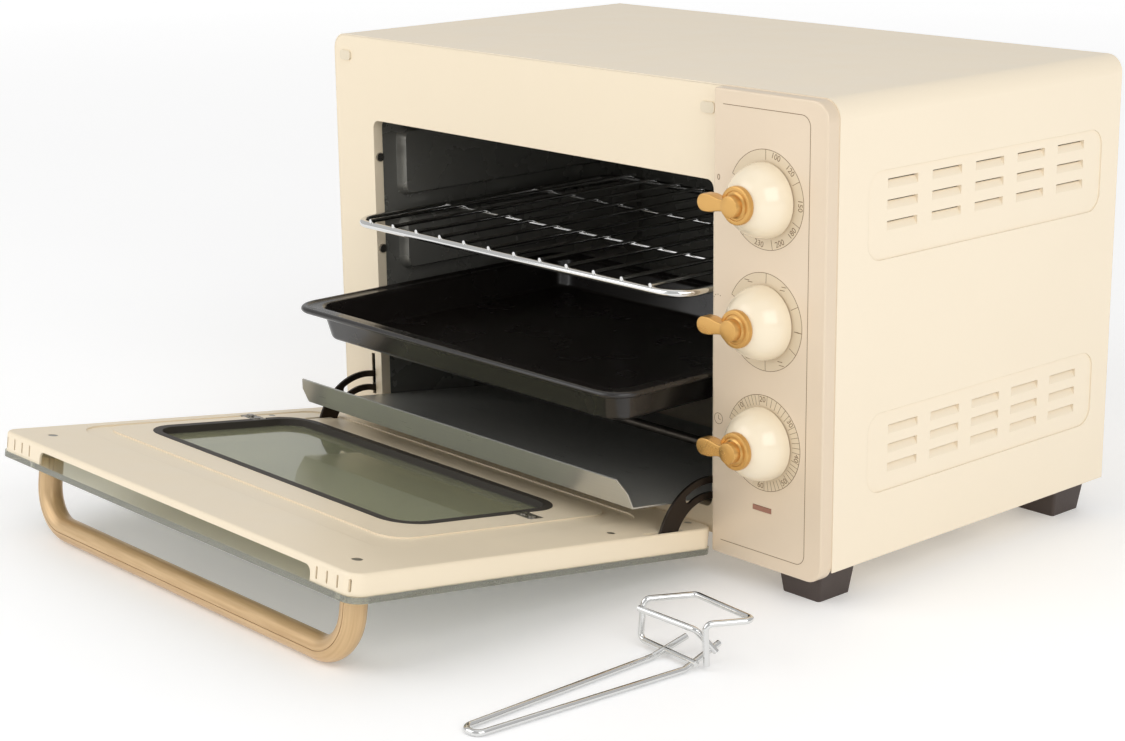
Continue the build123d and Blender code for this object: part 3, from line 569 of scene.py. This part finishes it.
# -------- dressing
class Dresser:
    """Gives every CAD node its finish, and every new piece a body and a finish."""

    def __init__(self, data: dict) -> None:
        """Read the slots and bodies from the record."""
        record = data["record"]
        self.nodes = data["nodes"]
        self.slots = {entry["node"]: entry["material_slot"] for entry in record["subparts"]}
        bodies = record["behaviour"]["bodies"]
        self.bodies = {node: body for body, nodes in bodies.items() for node in nodes}
        self.made: dict[str, bpy.types.Material] = {}

    def material(self, key: str) -> bpy.types.Material:
        """The finish's material, made once."""
        if key not in self.made:
            self.made[key] = FINISHES[key].make()
        return self.made[key]

    def dress_nodes(self) -> None:
        """Put a finish on every CAD node."""
        for name, node in self.nodes.items():
            node.data.materials.clear()
            node.data.materials.append(self.material(OWN_FINISH.get(name, self.slots[name])))
            LOG.info("dressed %s", name)

    def stand_for(self, piece: bpy.types.Object, *nodes: str) -> None:
        """Let a new piece stand for CAD nodes, with their body and slot."""
        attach(piece, self.bodies[nodes[0]])
        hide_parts(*nodes)
        piece.data.materials.clear()
        piece.data.materials.append(self.material(self.slots[nodes[0]]))
        LOG.info("made %s", piece.name)

    def add(self, piece: bpy.types.Object, beside: str, finish: str) -> None:
        """Add a new piece that rides with a CAD node's body and wears the given finish."""
        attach(piece, self.bodies[beside])
        piece.data.materials.clear()
        piece.data.materials.append(self.material(finish))
        LOG.info("made %s", piece.name)


# -------- sub-assemblies
@dataclass
class Dials:
    """Domes, gold levers and the printed scales of the control panel."""

    dresser: Dresser
    hub_radius: float = 12.0 * MM
    boss_radius: float = 6.75 * MM
    lever_reach: float = 27.0 * MM
    lever_width: float = 11.0 * MM
    neck_width: float = 7.4 * MM
    lever_thickness: float = 8.2 * MM
    paddle_inset: float = 0.6 * MM
    paddle_edge: float = 0.7 * MM
    dome_foot: float = 1.2 * MM
    dome_flattening: float = 0.946
    scale_radius: float = 31.0 * MM
    scale_inner: float = 24.6 * MM
    line: float = 0.35 * MM
    proud: float = 0.08 * MM
    digit: float = 5.2 * MM
    tint_share: float = 0.4
    flip_below: float = -20.0
    names: tuple[str, ...] = ("temperature", "function", "timer")
    parts: list = field(default_factory=list)

    def centre(self, name: str) -> tuple[float, float]:
        """X and Z of a dial's axis."""
        low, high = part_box(name + "_dome")
        return (low[0] + high[0]) / 2, (low[2] + high[2]) / 2

    def build(self) -> None:
        """Make every dial and its scale."""
        for name in self.names:
            self.dome(name)
            self.lever(name)
        self.temperature_scale()
        self.function_scale()
        self.timer_scale()

    def dome(self, name: str) -> None:
        """Dome: an ellipse's quarter in radius and depth, turned about the dial's axis."""
        low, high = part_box(name + "_dome")
        radius = (high[0] - low[0]) / 2
        rise = high[1] - low[1]
        top = self.hub_radius - 1.0 * MM
        angle = np.linspace(0, 1, 26) * math.acos(top / radius)
        ellipse = rise / math.sin(math.acos(top / radius))
        depth = high[1] - self.dome_foot - ellipse * np.sin(angle) * self.dome_flattening
        arc = np.stack([radius * np.cos(angle), depth], axis=-1)
        arc[:, 1] = np.maximum(arc[:, 1], low[1])
        foot = np.array([[radius - 2.5 * MM, high[1]], [radius - 0.5 * MM, high[1]],
                         [radius, high[1] - 0.5 * MM]])
        cap = np.array([[top - 0.6 * MM, low[1]], [2 * MM, low[1]]])
        self.dresser.stand_for(turned(name + "_dome_cap", np.concatenate([foot, arc, cap]), self.centre(name)),
                               name + "_dome")

    def lever(self, name: str) -> None:
        """Lever: a stepped gold disc turned about the axis, and a paddle with a narrow neck."""
        low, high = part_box(name + "_lever")
        centre = self.centre(name)
        hub, boss = self.hub_radius, self.boss_radius
        back, front = high[1], low[1]
        step = back - 4 * MM
        rim = 0.9 * MM
        profile = np.array([[2 * MM, back], [hub - rim, back], [hub - 0.25 * rim, back - 0.25 * rim],
                            [hub, back - rim], [hub, step + rim], [hub - 0.25 * rim, step + 0.25 * rim],
                            [hub - rim, step], [boss + 2.6 * MM, step], [boss + 2.2 * MM, step + 0.35 * MM],
                            [boss + 1.2 * MM, step + 0.35 * MM], [boss + 0.5 * MM, step],
                            [boss, step - 0.5 * MM], [boss, front + 0.7 * MM],
                            [boss - 0.2 * MM, front + 0.2 * MM], [boss - 0.7 * MM, front], [1 * MM, front]])
        disc = turned(name + "_disc", profile, centre, 64)
        half = self.lever_width / 2
        tip = self.lever_reach - half
        reach = np.linspace(0, tip, 24)
        share = np.clip((reach / tip - 0.35) / 0.5, 0, 1)
        width = self.neck_width / 2 + (half - self.neck_width / 2) * share * share * (3 - 2 * share)
        turn = np.linspace(np.pi / 2, -np.pi / 2, 14)[1:-1]
        x = np.concatenate([-reach, -tip - half * np.cos(turn), -reach[::-1]])
        z = np.concatenate([width, half * np.sin(turn), -width[::-1]])
        outline = np.stack([centre[0] + x, centre[1] + z], axis=-1)
        low_y = front + self.paddle_inset
        paddle = slab(name + "_paddle", outline, low_y, low_y + self.lever_thickness, self.paddle_edge)
        self.dresser.stand_for(joined(name + "_lever_cap", [disc, paddle]), name + "_lever")

    # ---- printed scales
    def face(self) -> float:
        """Y of the panel's front."""
        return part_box("control_panel")[0][1]

    def flat(self, points: np.ndarray) -> np.ndarray:
        """Points in X and Z laid on the panel's front."""
        return np.stack([points[:, 0], np.full(len(points), self.face()), points[:, 1]], axis=-1)

    def stroke(self, points: np.ndarray, width: Optional[float] = None, closed: bool = False) -> None:
        """Printed line: a flat strip carried along points on the panel."""
        section = strip((width or self.line) / 2, self.proud)
        self.parts.append(surface("stroke", carry(self.flat(points), section, (0, -1, 0), closed), closed))

    def polar(self, name: str, radius: float, degrees: Any) -> np.ndarray:
        """Points at a radius and angles from +X, about a dial's axis."""
        x, z = self.centre(name)
        angle = np.radians(np.atleast_1d(np.asarray(degrees, dtype=float)))
        return np.stack([x + radius * np.cos(angle), z + radius * np.sin(angle)], axis=-1)

    def arc(self, name: str, radius: float, start: float, end: float) -> None:
        """Printed arc between two angles."""
        self.stroke(self.polar(name, radius, np.linspace(start, end, max(6, int(abs(end - start) / 3)))))

    def tick(self, name: str, degrees: float, width: Optional[float] = None) -> None:
        """Radial line across the scale's band."""
        ends = [self.polar(name, radius, degrees)[0] for radius in (self.scale_inner, self.scale_radius)]
        self.stroke(np.linspace(ends[0], ends[1], 3), width)

    def numeral(self, text: str, centre: Sequence[float], degrees: float) -> None:
        """Generic numeral, turned by an angle in the panel's plane."""
        curve = bpy.data.curves.new("numeral", "FONT")
        curve.body = text
        curve.align_x = "CENTER"
        curve.align_y = "CENTER"
        curve.size = self.digit
        curve.extrude = self.proud
        source = bpy.data.objects.new("numeral", curve)
        bpy.context.scene.collection.objects.link(source)
        bpy.context.view_layer.update()
        mesh = bpy.data.meshes.new_from_object(source.evaluated_get(bpy.context.evaluated_depsgraph_get()))
        bpy.data.objects.remove(source)
        turn = Matrix.Rotation(math.radians(degrees), 4, "Z")
        stand = Matrix.Rotation(math.radians(90), 4, "X")
        mesh.transform(Matrix.Translation((centre[0], self.face(), centre[1])) @ stand @ turn)
        piece = bpy.data.objects.new("numeral", mesh)
        bpy.context.scene.collection.objects.link(piece)
        self.parts.append(piece)

    def numeral_on(self, name: str, text: str, degrees: float) -> None:
        """Numeral in a dial's band, its top outwards, or inwards on the dial's lower part."""
        middle = (self.scale_radius + self.scale_inner) / 2 + 0.3 * MM
        turn = degrees - 90 if degrees > self.flip_below else degrees + 90
        self.numeral(text, self.polar(name, middle, degrees)[0], turn)

    def close(self, name: str) -> None:
        """Join the strokes so far into one printed piece."""
        piece = joined(name, self.parts)
        self.parts = []
        self.dresser.add(piece, "control_panel", "print")

    def band(self, name: str, start: float, end: float) -> None:
        """Tinted band of a scale: a thin slab between two arcs."""
        angles = np.linspace(start, end, 90)
        outer = self.polar(name, self.scale_radius, angles)
        inner = self.polar(name, self.scale_inner - 1.5 * MM, angles[::-1])
        middle = (outer + inner[::-1]) / 2
        half = np.linalg.norm(outer - inner[::-1], axis=1)[0] / 2
        section = strip(half, self.proud * self.tint_share)
        piece = surface(name + "_band", carry(self.flat(middle), section, (0, -1, 0)))
        self.dresser.add(piece, "control_panel", "tint")

    def temperature_scale(self) -> None:
        """Temperature numbers from 100 to 230 with section ticks."""
        name = "temperature"
        self.band(name, 155, -140)
        self.arc(name, self.scale_radius, 155, -150)
        for degrees in (155, 91, 28, -26, -79, -128):
            self.tick(name, degrees)
        numbers = {"100": 74, "120": 46, "150": 0, "180": -39, "200": -65, "230": -101}
        for text, degrees in numbers.items():
            self.numeral_on(name, text, degrees)
        x, z = self.centre(name)
        self.numeral("0", (x - 40 * MM, z + 9 * MM), 0)
        self.close("temperature_print")

    def function_scale(self) -> None:
        """Generic bars for upper, lower and both heaters, and an off mark."""
        name = "function"
        self.band(name, 155, -150)
        self.arc(name, self.scale_radius, 155, -150)
        for degrees in (155, 88, 27, -32, -88):
            self.tick(name, degrees)
        middle = (self.scale_radius + self.scale_inner) / 2
        for degrees, offsets in ((122, (1.1,)), (118, (-1.1,)), (57, (1.3, -1.3)), (-4, (1.1, -1.1)),
                                 (-60, (1.3, -1.3)), (-118, (1.1, -1.1))):
            for offset in offsets:
                spot = self.polar(name, middle + offset * MM, degrees)[0]
                span = 2.0 * MM
                self.stroke(np.linspace(spot - [span, 0], spot + [span, 0], 3), 0.45 * MM)
        x, z = self.centre(name)
        for degrees in (60, 90, 120, 150):
            angle = math.radians(degrees)
            spot = np.array([x - 40 * MM + 4 * MM * math.cos(angle), z + 7 * MM + 4 * MM * math.sin(angle)])
            self.stroke(np.linspace(spot - [0.3 * MM, 0], spot + [0.3 * MM, 0], 3), 0.6 * MM)
        self.close("function_print")

    def timer_scale(self) -> None:
        """Minutes from 10 to 60 with a tick for every two, and a clock sign."""
        name = "timer"
        self.band(name, 160, -108)
        self.arc(name, self.scale_radius, 160, -150)
        tens = {10: 134, 20: 92, 30: 38, 40: -8, 50: -50, 60: -94}
        places = np.array(list(tens.values()), dtype=float)
        for first, second in zip(places[:-1], places[1:]):
            for degrees in np.linspace(first, second, 8)[1:-1]:
                self.tick(name, float(degrees), width=0.3 * MM)
        for degrees in (160, 153, 146):
            self.tick(name, degrees, width=0.3 * MM)
        for minutes, degrees in tens.items():
            self.numeral_on(name, str(minutes), degrees)
        x, z = self.centre(name)
        spot = np.array([x - 39 * MM, z + 8 * MM])
        self.stroke(spot + circle(3.6 * MM, 30), closed=True)
        self.stroke(np.linspace(spot, spot + [0, 2.4 * MM], 3))
        self.stroke(np.linspace(spot, spot + [1.9 * MM, -0.6 * MM], 3))
        self.close("timer_print")


@dataclass
class PanelBorder:
    """Fine printed line round the control panel, open on the door's side."""

    dresser: Dresser
    left: float = 8.0 * MM
    right: float = 14.0 * MM
    end: float = 9.5 * MM
    corner: float = 7.0 * MM
    line: float = 0.4 * MM
    proud: float = 0.08 * MM

    def build(self) -> None:
        """Carry a flat strip along a C-shaped route."""
        low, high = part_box("control_panel")
        x0, x1 = low[0] + self.left, high[0] - self.right
        z0, z1 = low[2] + self.end, high[2] - self.end
        y = low[1]
        path = bent([(x0, y, z0), (x1, y, z0), (x1, y, z1), (x0, y, z1)], self.corner)
        rings = carry(path, strip(self.line / 2, self.proud), (0, -1, 0))
        self.dresser.add(surface("panel_border_print", rings), "control_panel", "print")


@dataclass
class Handle:
    """Bent bar handle in two halves, drawn for the shut door and opened with it."""

    dresser: Dresser
    radius: float = 8.25 * MM
    bend: float = 28.0 * MM
    reach: float = 43.0 * MM
    height: float = 264.8 * MM
    glass: float = -8.0 * MM
    seam: float = 0.8 * MM
    seam_gap: float = 0.22 * MM
    seam_turn: float = 95.0
    grain_shift: float = 0.1
    open_angle: float = 82.0

    def build(self) -> None:
        """Carry a D-shaped section along the route, once for each half."""
        low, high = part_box("handle_front")
        joints = frame["record"]["behaviour"]["joints"]
        hinge = next(joint for joint in joints if joint["name"] == "door_hinge")["pos_m"]
        x0, x1 = low[0] + self.radius, high[0] - self.radius
        near, far = self.glass, self.glass - self.reach
        route = bent([(x0, near, self.height), (x0, far, self.height), (x1, far, self.height),
                      (x1, near, self.height)], self.bend, 20, 0.008)
        length = np.concatenate([[0.0], np.cumsum(np.linalg.norm(np.diff(route, axis=0), axis=1))])
        for name, side in (("handle_front", 1.0), ("handle_back", -1.0)):
            section = self.half_section(side)
            rings = carry(route, section, (0, 0, 1))
            around = np.linspace(0, 2 * self.radius, len(section))
            around = around + (self.grain_shift if side > 0 else 0.0)
            uv = np.stack(np.broadcast_arrays(length[:, None], around[None, :]), axis=-1)
            piece = surface(name + "_shell", self.opened(rings, hinge), uv=uv, smooth=50)
            self.dresser.stand_for(piece, name)

    def half_section(self, side: float) -> np.ndarray:
        """Half circle beside the seam plane, stepped in at the seam and turned about its middle."""
        start = math.asin(self.seam_gap / self.radius)
        angle = np.linspace(start, np.pi - start, 26)
        arc = self.radius * np.stack([np.cos(angle), np.sin(angle)], axis=-1)
        inset = self.radius - self.seam
        touch = 0.02 * MM
        lip = np.array([[-inset, self.seam_gap], [-inset, touch], [inset, touch], [inset, self.seam_gap]])
        flat = np.concatenate([arc, lip]) * [1.0, side]
        turn = math.radians(self.seam_turn)
        across = flat[:, 0] * math.cos(turn) - flat[:, 1] * math.sin(turn)
        along = flat[:, 0] * math.sin(turn) + flat[:, 1] * math.cos(turn)
        return np.stack([across, along], axis=-1)

    def opened(self, points: np.ndarray, hinge: Sequence[float]) -> np.ndarray:
        """Turn points about the hinge line from shut to open."""
        angle = math.radians(self.open_angle)
        y, z = points[..., 1], points[..., 2]
        turned_y = hinge[1] + y * math.cos(angle) - z * math.sin(angle)
        turned_z = hinge[2] + y * math.sin(angle) + z * math.cos(angle)
        return np.stack([points[..., 0], turned_y, turned_z], axis=-1)


@dataclass
class Rack:
    """Chromed rack: a rounded frame wire with rods laid across it."""

    dresser: Dresser
    frame_radius: float = 2.75 * MM
    rod_radius: float = 1.5 * MM
    corner: float = 18.0 * MM
    rods: int = 12
    pitch: float = 26.6 * MM
    brace: float = 90.0 * MM

    def build(self) -> None:
        """Make the frame, the long rods and the two braces under them."""
        low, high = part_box("wire_rack")
        r = self.frame_radius
        z = low[2] + r
        middle = ((low[0] + high[0]) / 2, (low[1] + high[1]) / 2)
        half_x = np.array([(high[0] - low[0]) / 2 - r])
        half_y = np.array([(high[1] - low[1]) / 2 - r])
        loop = rounded_rings(half_x, half_y, np.array([self.corner]), np.array([z]), middle, 16)[0]
        pieces = [wire("rack_frame", loop, r, (0, 0, 1), True, 18)]
        top = high[2] - self.rod_radius
        for index in range(self.rods):
            x = middle[0] + (index - (self.rods - 1) / 2) * self.pitch
            ends = [(x, low[1] + 1 * MM, top), (x, high[1] - 1 * MM, top)]
            pieces.append(self.rod("rack_rod", ends))
        for y in (low[1] + self.brace, high[1] - self.brace):
            level = top - 2 * self.rod_radius + 0.4 * MM
            ends = [(low[0] + r, y, level), (high[0] - r, y, level)]
            pieces.append(self.rod("rack_brace", ends))
        self.dresser.stand_for(joined("wire_rack_bars", pieces), "wire_rack")

    def rod(self, name: str, ends: Sequence[Sequence[float]]) -> bpy.types.Object:
        """Straight rod between two points."""
        return wire(name, np.linspace(*np.array(ends), 3), self.rod_radius, (0, 0, 1), sides=12)


@dataclass
class Pan:
    """Black baking pan with sloped walls, a flat rim and a rolled edge."""

    dresser: Dresser
    rim: float = 12.5 * MM
    roll: float = 2.2 * MM
    sheet: float = 1.0 * MM
    slope: float = 12.0
    bend: float = 3.0 * MM

    def build(self) -> None:
        """Profile from the floor's middle over the rim and back, carried round a rounded rectangle."""
        low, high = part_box("baking_tray")
        top, floor = high[2] - 0.8 * MM, low[2]
        drop = top - floor
        lean = drop * math.tan(math.radians(self.slope))
        r = self.roll
        angle = np.radians(np.linspace(200, -110, 14))
        roll = np.stack([r + r * -np.cos(angle), high[2] - r + r * np.sin(angle)], axis=-1)[::-1]
        inner = self.corner_arc((self.rim + 1 * MM, top), (self.rim + 1 * MM + lean, floor + self.sheet))
        outer = self.corner_arc((self.rim, top - self.sheet), (self.rim + lean, floor))
        centre_in = np.array([[120 * MM, floor + self.sheet]])
        centre_out = np.array([[120 * MM, floor]])
        profile = np.concatenate([centre_in, inner[::-1], roll[::-1][2:], outer, centre_out])
        inset, height = profile[:, 0], profile[:, 1]
        half_x, half_y = (high[0] - low[0]) / 2, (high[1] - low[1]) / 2
        middle = ((low[0] + high[0]) / 2, (low[1] + high[1]) / 2)
        radius = np.clip(20 * MM - inset * 0.35, 8 * MM, 20 * MM)
        rings = rounded_rings(half_x - inset, half_y - inset, radius, height, middle, 12)
        self.dresser.stand_for(surface("baking_pan_shell", rings, smooth=60), "baking_tray")

    def corner_arc(self, upper: Sequence[float], lower: Sequence[float]) -> np.ndarray:
        """Wall from rim to floor with both bends rounded by short curves."""
        up, down = np.array(upper), np.array(lower)
        wall = unit(down - up)
        out, into = np.array([-1.0, 0.0]), np.array([1.0, 0.0])
        first = self.curve(up + out * self.bend, up, up + wall * self.bend)
        second = self.curve(down - wall * self.bend, down, down + into * self.bend)
        return np.concatenate([first, second])

    @staticmethod
    def curve(start: np.ndarray, corner: np.ndarray, end: np.ndarray) -> np.ndarray:
        """Parabola from start to end that leaves and arrives along the lines to the corner."""
        share = np.linspace(0, 1, 6)[:, None]
        return (1 - share) ** 2 * start + 2 * share * (1 - share) * corner + share ** 2 * end


@dataclass
class Lifter:
    """Bent-wire tray lifter lying on the floor."""

    dresser: Dresser
    radius: float = 2.0 * MM
    axis: tuple[float, float, float] = (0.83, 0.36, 0.42)
    right: float = 280.31 * MM
    back: float = -94.22 * MM

    def build(self) -> None:
        """Carry a circle along three bent routes, set out from the piece's own box."""
        low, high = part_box("tray_lifter")
        origin = np.array([high[0] - self.right, high[1] - self.back, 0.0])
        ground = low[2] + self.radius
        grip = [(235, -112, 9), (232, -138, 2.1), (233.5, -284, 2.1), (246, -284, 2.1), (259, -138, 2.1),
                (256, -106, 9)]
        hook = [(265.5, -126, 3), (265.5, -127, 29), (281, -101, 29), (227, -96, 29), (211, -124, 29),
                (211, -127, 4.5), (262, -131, 4.5)]
        stay = [(210.5, -128, 24), (252, -121, 20), (259.5, -112, 6)]
        pieces = []
        for name, route, bend in (("grip", grip, 5.8), ("hook", hook, 4.0), ("stay", stay, 5.0)):
            points = np.array(route) * MM + origin
            points[:, 2] += ground - 2.1 * MM
            pieces.append(wire(name, bent(points, bend * MM, 10, 0.012), self.radius, self.axis, sides=16))
        self.dresser.stand_for(joined("tray_lifter_wire", pieces), "tray_lifter")


# -------- stage
@dataclass(frozen=True)
class Lamp:
    """One square soft light: where it stands, what it aims at, its side and its power."""

    name: str
    place: tuple[float, float, float]
    target: tuple[float, float, float]
    size: float
    power: float


LAMPS: tuple[Lamp, ...] = (
    Lamp("key", (-0.9, -1.9, 1.3), (0.0, 0.0, 0.15), 2.0, 18.0),
    Lamp("fill", (2.3, -0.7, 1.4), (0.1, 0.0, 0.15), 1.8, 22.0),
    Lamp("top", (0.1, 0.3, 2.6), (0.0, 0.05, 0.0), 2.4, 5.0),
)


@dataclass
class Studio:
    """Pale floor, soft lights and the camera."""

    camera_from_cover: tuple[float, float, float] = (1.1383, -1.0128, 0.5173)
    yaw: float = -48.311
    pitch: float = -15.097
    roll: float = -0.728
    lens: float = 73.19
    sensor: float = 36.0
    floor_half: float = 6.0
    sky: float = 0.6
    fade_distance: float = 4.0
    near_glow: float = 0.15
    far_glow: float = 0.46

    def build(self) -> None:
        """Set the stage."""
        self.camera()
        self.floor()
        for lamp in LAMPS:
            self.light(lamp)
        world = bpy.data.worlds.new("studio")
        world.use_nodes = True
        background = world.node_tree.nodes["Background"]
        background.inputs[0].default_value = (1.0, 1.0, 1.0, 1.0)
        background.inputs[1].default_value = self.sky
        bpy.context.scene.world = world
        bpy.context.scene.view_settings.view_transform = "Standard"

    def camera(self) -> None:
        """Camera set from the cover's lower front edge, looking along yaw and pitch."""
        low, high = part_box("outer_cover")
        place = Vector(((low[0] + high[0]) / 2, low[1], 0.0)) + Vector(self.camera_from_cover)
        yaw, pitch, roll = (math.radians(angle) for angle in (self.yaw, self.pitch, self.roll))
        ahead = Vector((math.sin(yaw) * math.cos(pitch), math.cos(yaw) * math.cos(pitch), math.sin(pitch)))
        level = Vector((math.cos(yaw), -math.sin(yaw), 0.0))
        upright = level.cross(ahead)
        right = level * math.cos(roll) + upright * math.sin(roll)
        up = upright * math.cos(roll) - level * math.sin(roll)
        data = bpy.data.cameras.new("view")
        data.lens = self.lens
        data.sensor_width = self.sensor
        camera = bpy.data.objects.new("view", data)
        bpy.context.scene.collection.objects.link(camera)
        turn = Matrix((right, up, -ahead)).transposed().to_4x4()
        camera.matrix_world = Matrix.Translation(place) @ turn
        bpy.context.scene.camera = camera

    def floor(self) -> None:
        """Pale floor with the faintest unevenness."""
        half = self.floor_half
        corners = [(-half, -half, 0), (half, -half, 0), (half, half, 0), (-half, half, 0)]
        mesh = bpy.data.meshes.new("floor")
        mesh.from_pydata(corners, [], [(0, 1, 2, 3)])
        floor = bpy.data.objects.new("floor", mesh)
        bpy.context.scene.collection.objects.link(floor)
        mesh.materials.append(self.floor_material())

    def floor_material(self) -> bpy.types.Material:
        """Pale matt floor that glows a little more with distance, as a lit backdrop does.

        The glow is far_glow less a share that falls in a straight line with distance to
        nothing at fade_distance.
        """
        graph = Graph("pale_floor")
        place = Value(graph, graph.add("ShaderNodeTexCoord").outputs["Object"])
        shrink = tuple([1 / self.fade_distance] * 3)
        mapping = graph.add("ShaderNodeMapping", None, {"Vector": place, "Scale": shrink})
        near = graph.add("ShaderNodeTexGradient", {"gradient_type": "SPHERICAL"},
                         {"Vector": Value(graph, mapping.outputs[0])})
        glow = self.far_glow - Value(graph, near.outputs[1]) * (self.far_glow - self.near_glow)
        tone = graph.noise((3, 3, 3), 3)
        shader = graph.add("ShaderNodeBsdfPrincipled", None, {
            "Base Color": graph.blend(tone, (0.92, 0.92, 0.92, 1.0), (0.90, 0.90, 0.90, 1.0)),
            "Roughness": 0.6,
            "Emission Color": graph.blend(glow, (0.0, 0.0, 0.0, 1.0), (1.0, 1.0, 1.0, 1.0)),
            "Emission Strength": 1.0,
        })
        output = graph.add("ShaderNodeOutputMaterial")
        graph.feed(output.inputs[0], Value(graph, shader.outputs[0]))
        return graph.material

    @staticmethod
    def light(lamp: Lamp) -> None:
        """Square soft light aimed at its target."""
        data = bpy.data.lights.new(lamp.name, "AREA")
        data.shape = "SQUARE"
        data.size = lamp.size
        data.energy = lamp.power
        light = bpy.data.objects.new(lamp.name, data)
        bpy.context.scene.collection.objects.link(light)
        light.location = lamp.place
        aim = Vector(lamp.target) - Vector(lamp.place)
        light.rotation_euler = aim.to_track_quat("-Z", "Y").to_euler()


def main() -> None:
    """Build the looks in order."""
    logging.basicConfig(level=logging.INFO, format="%(message)s")
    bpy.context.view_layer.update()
    dresser = Dresser(frame)
    Studio().build()
    dresser.dress_nodes()
    Dials(dresser).build()
    PanelBorder(dresser).build()
    Handle(dresser).build()
    Rack(dresser).build()
    Pan(dresser).build()
    Lifter(dresser).build()


if __name__ == "__main__":
    main()
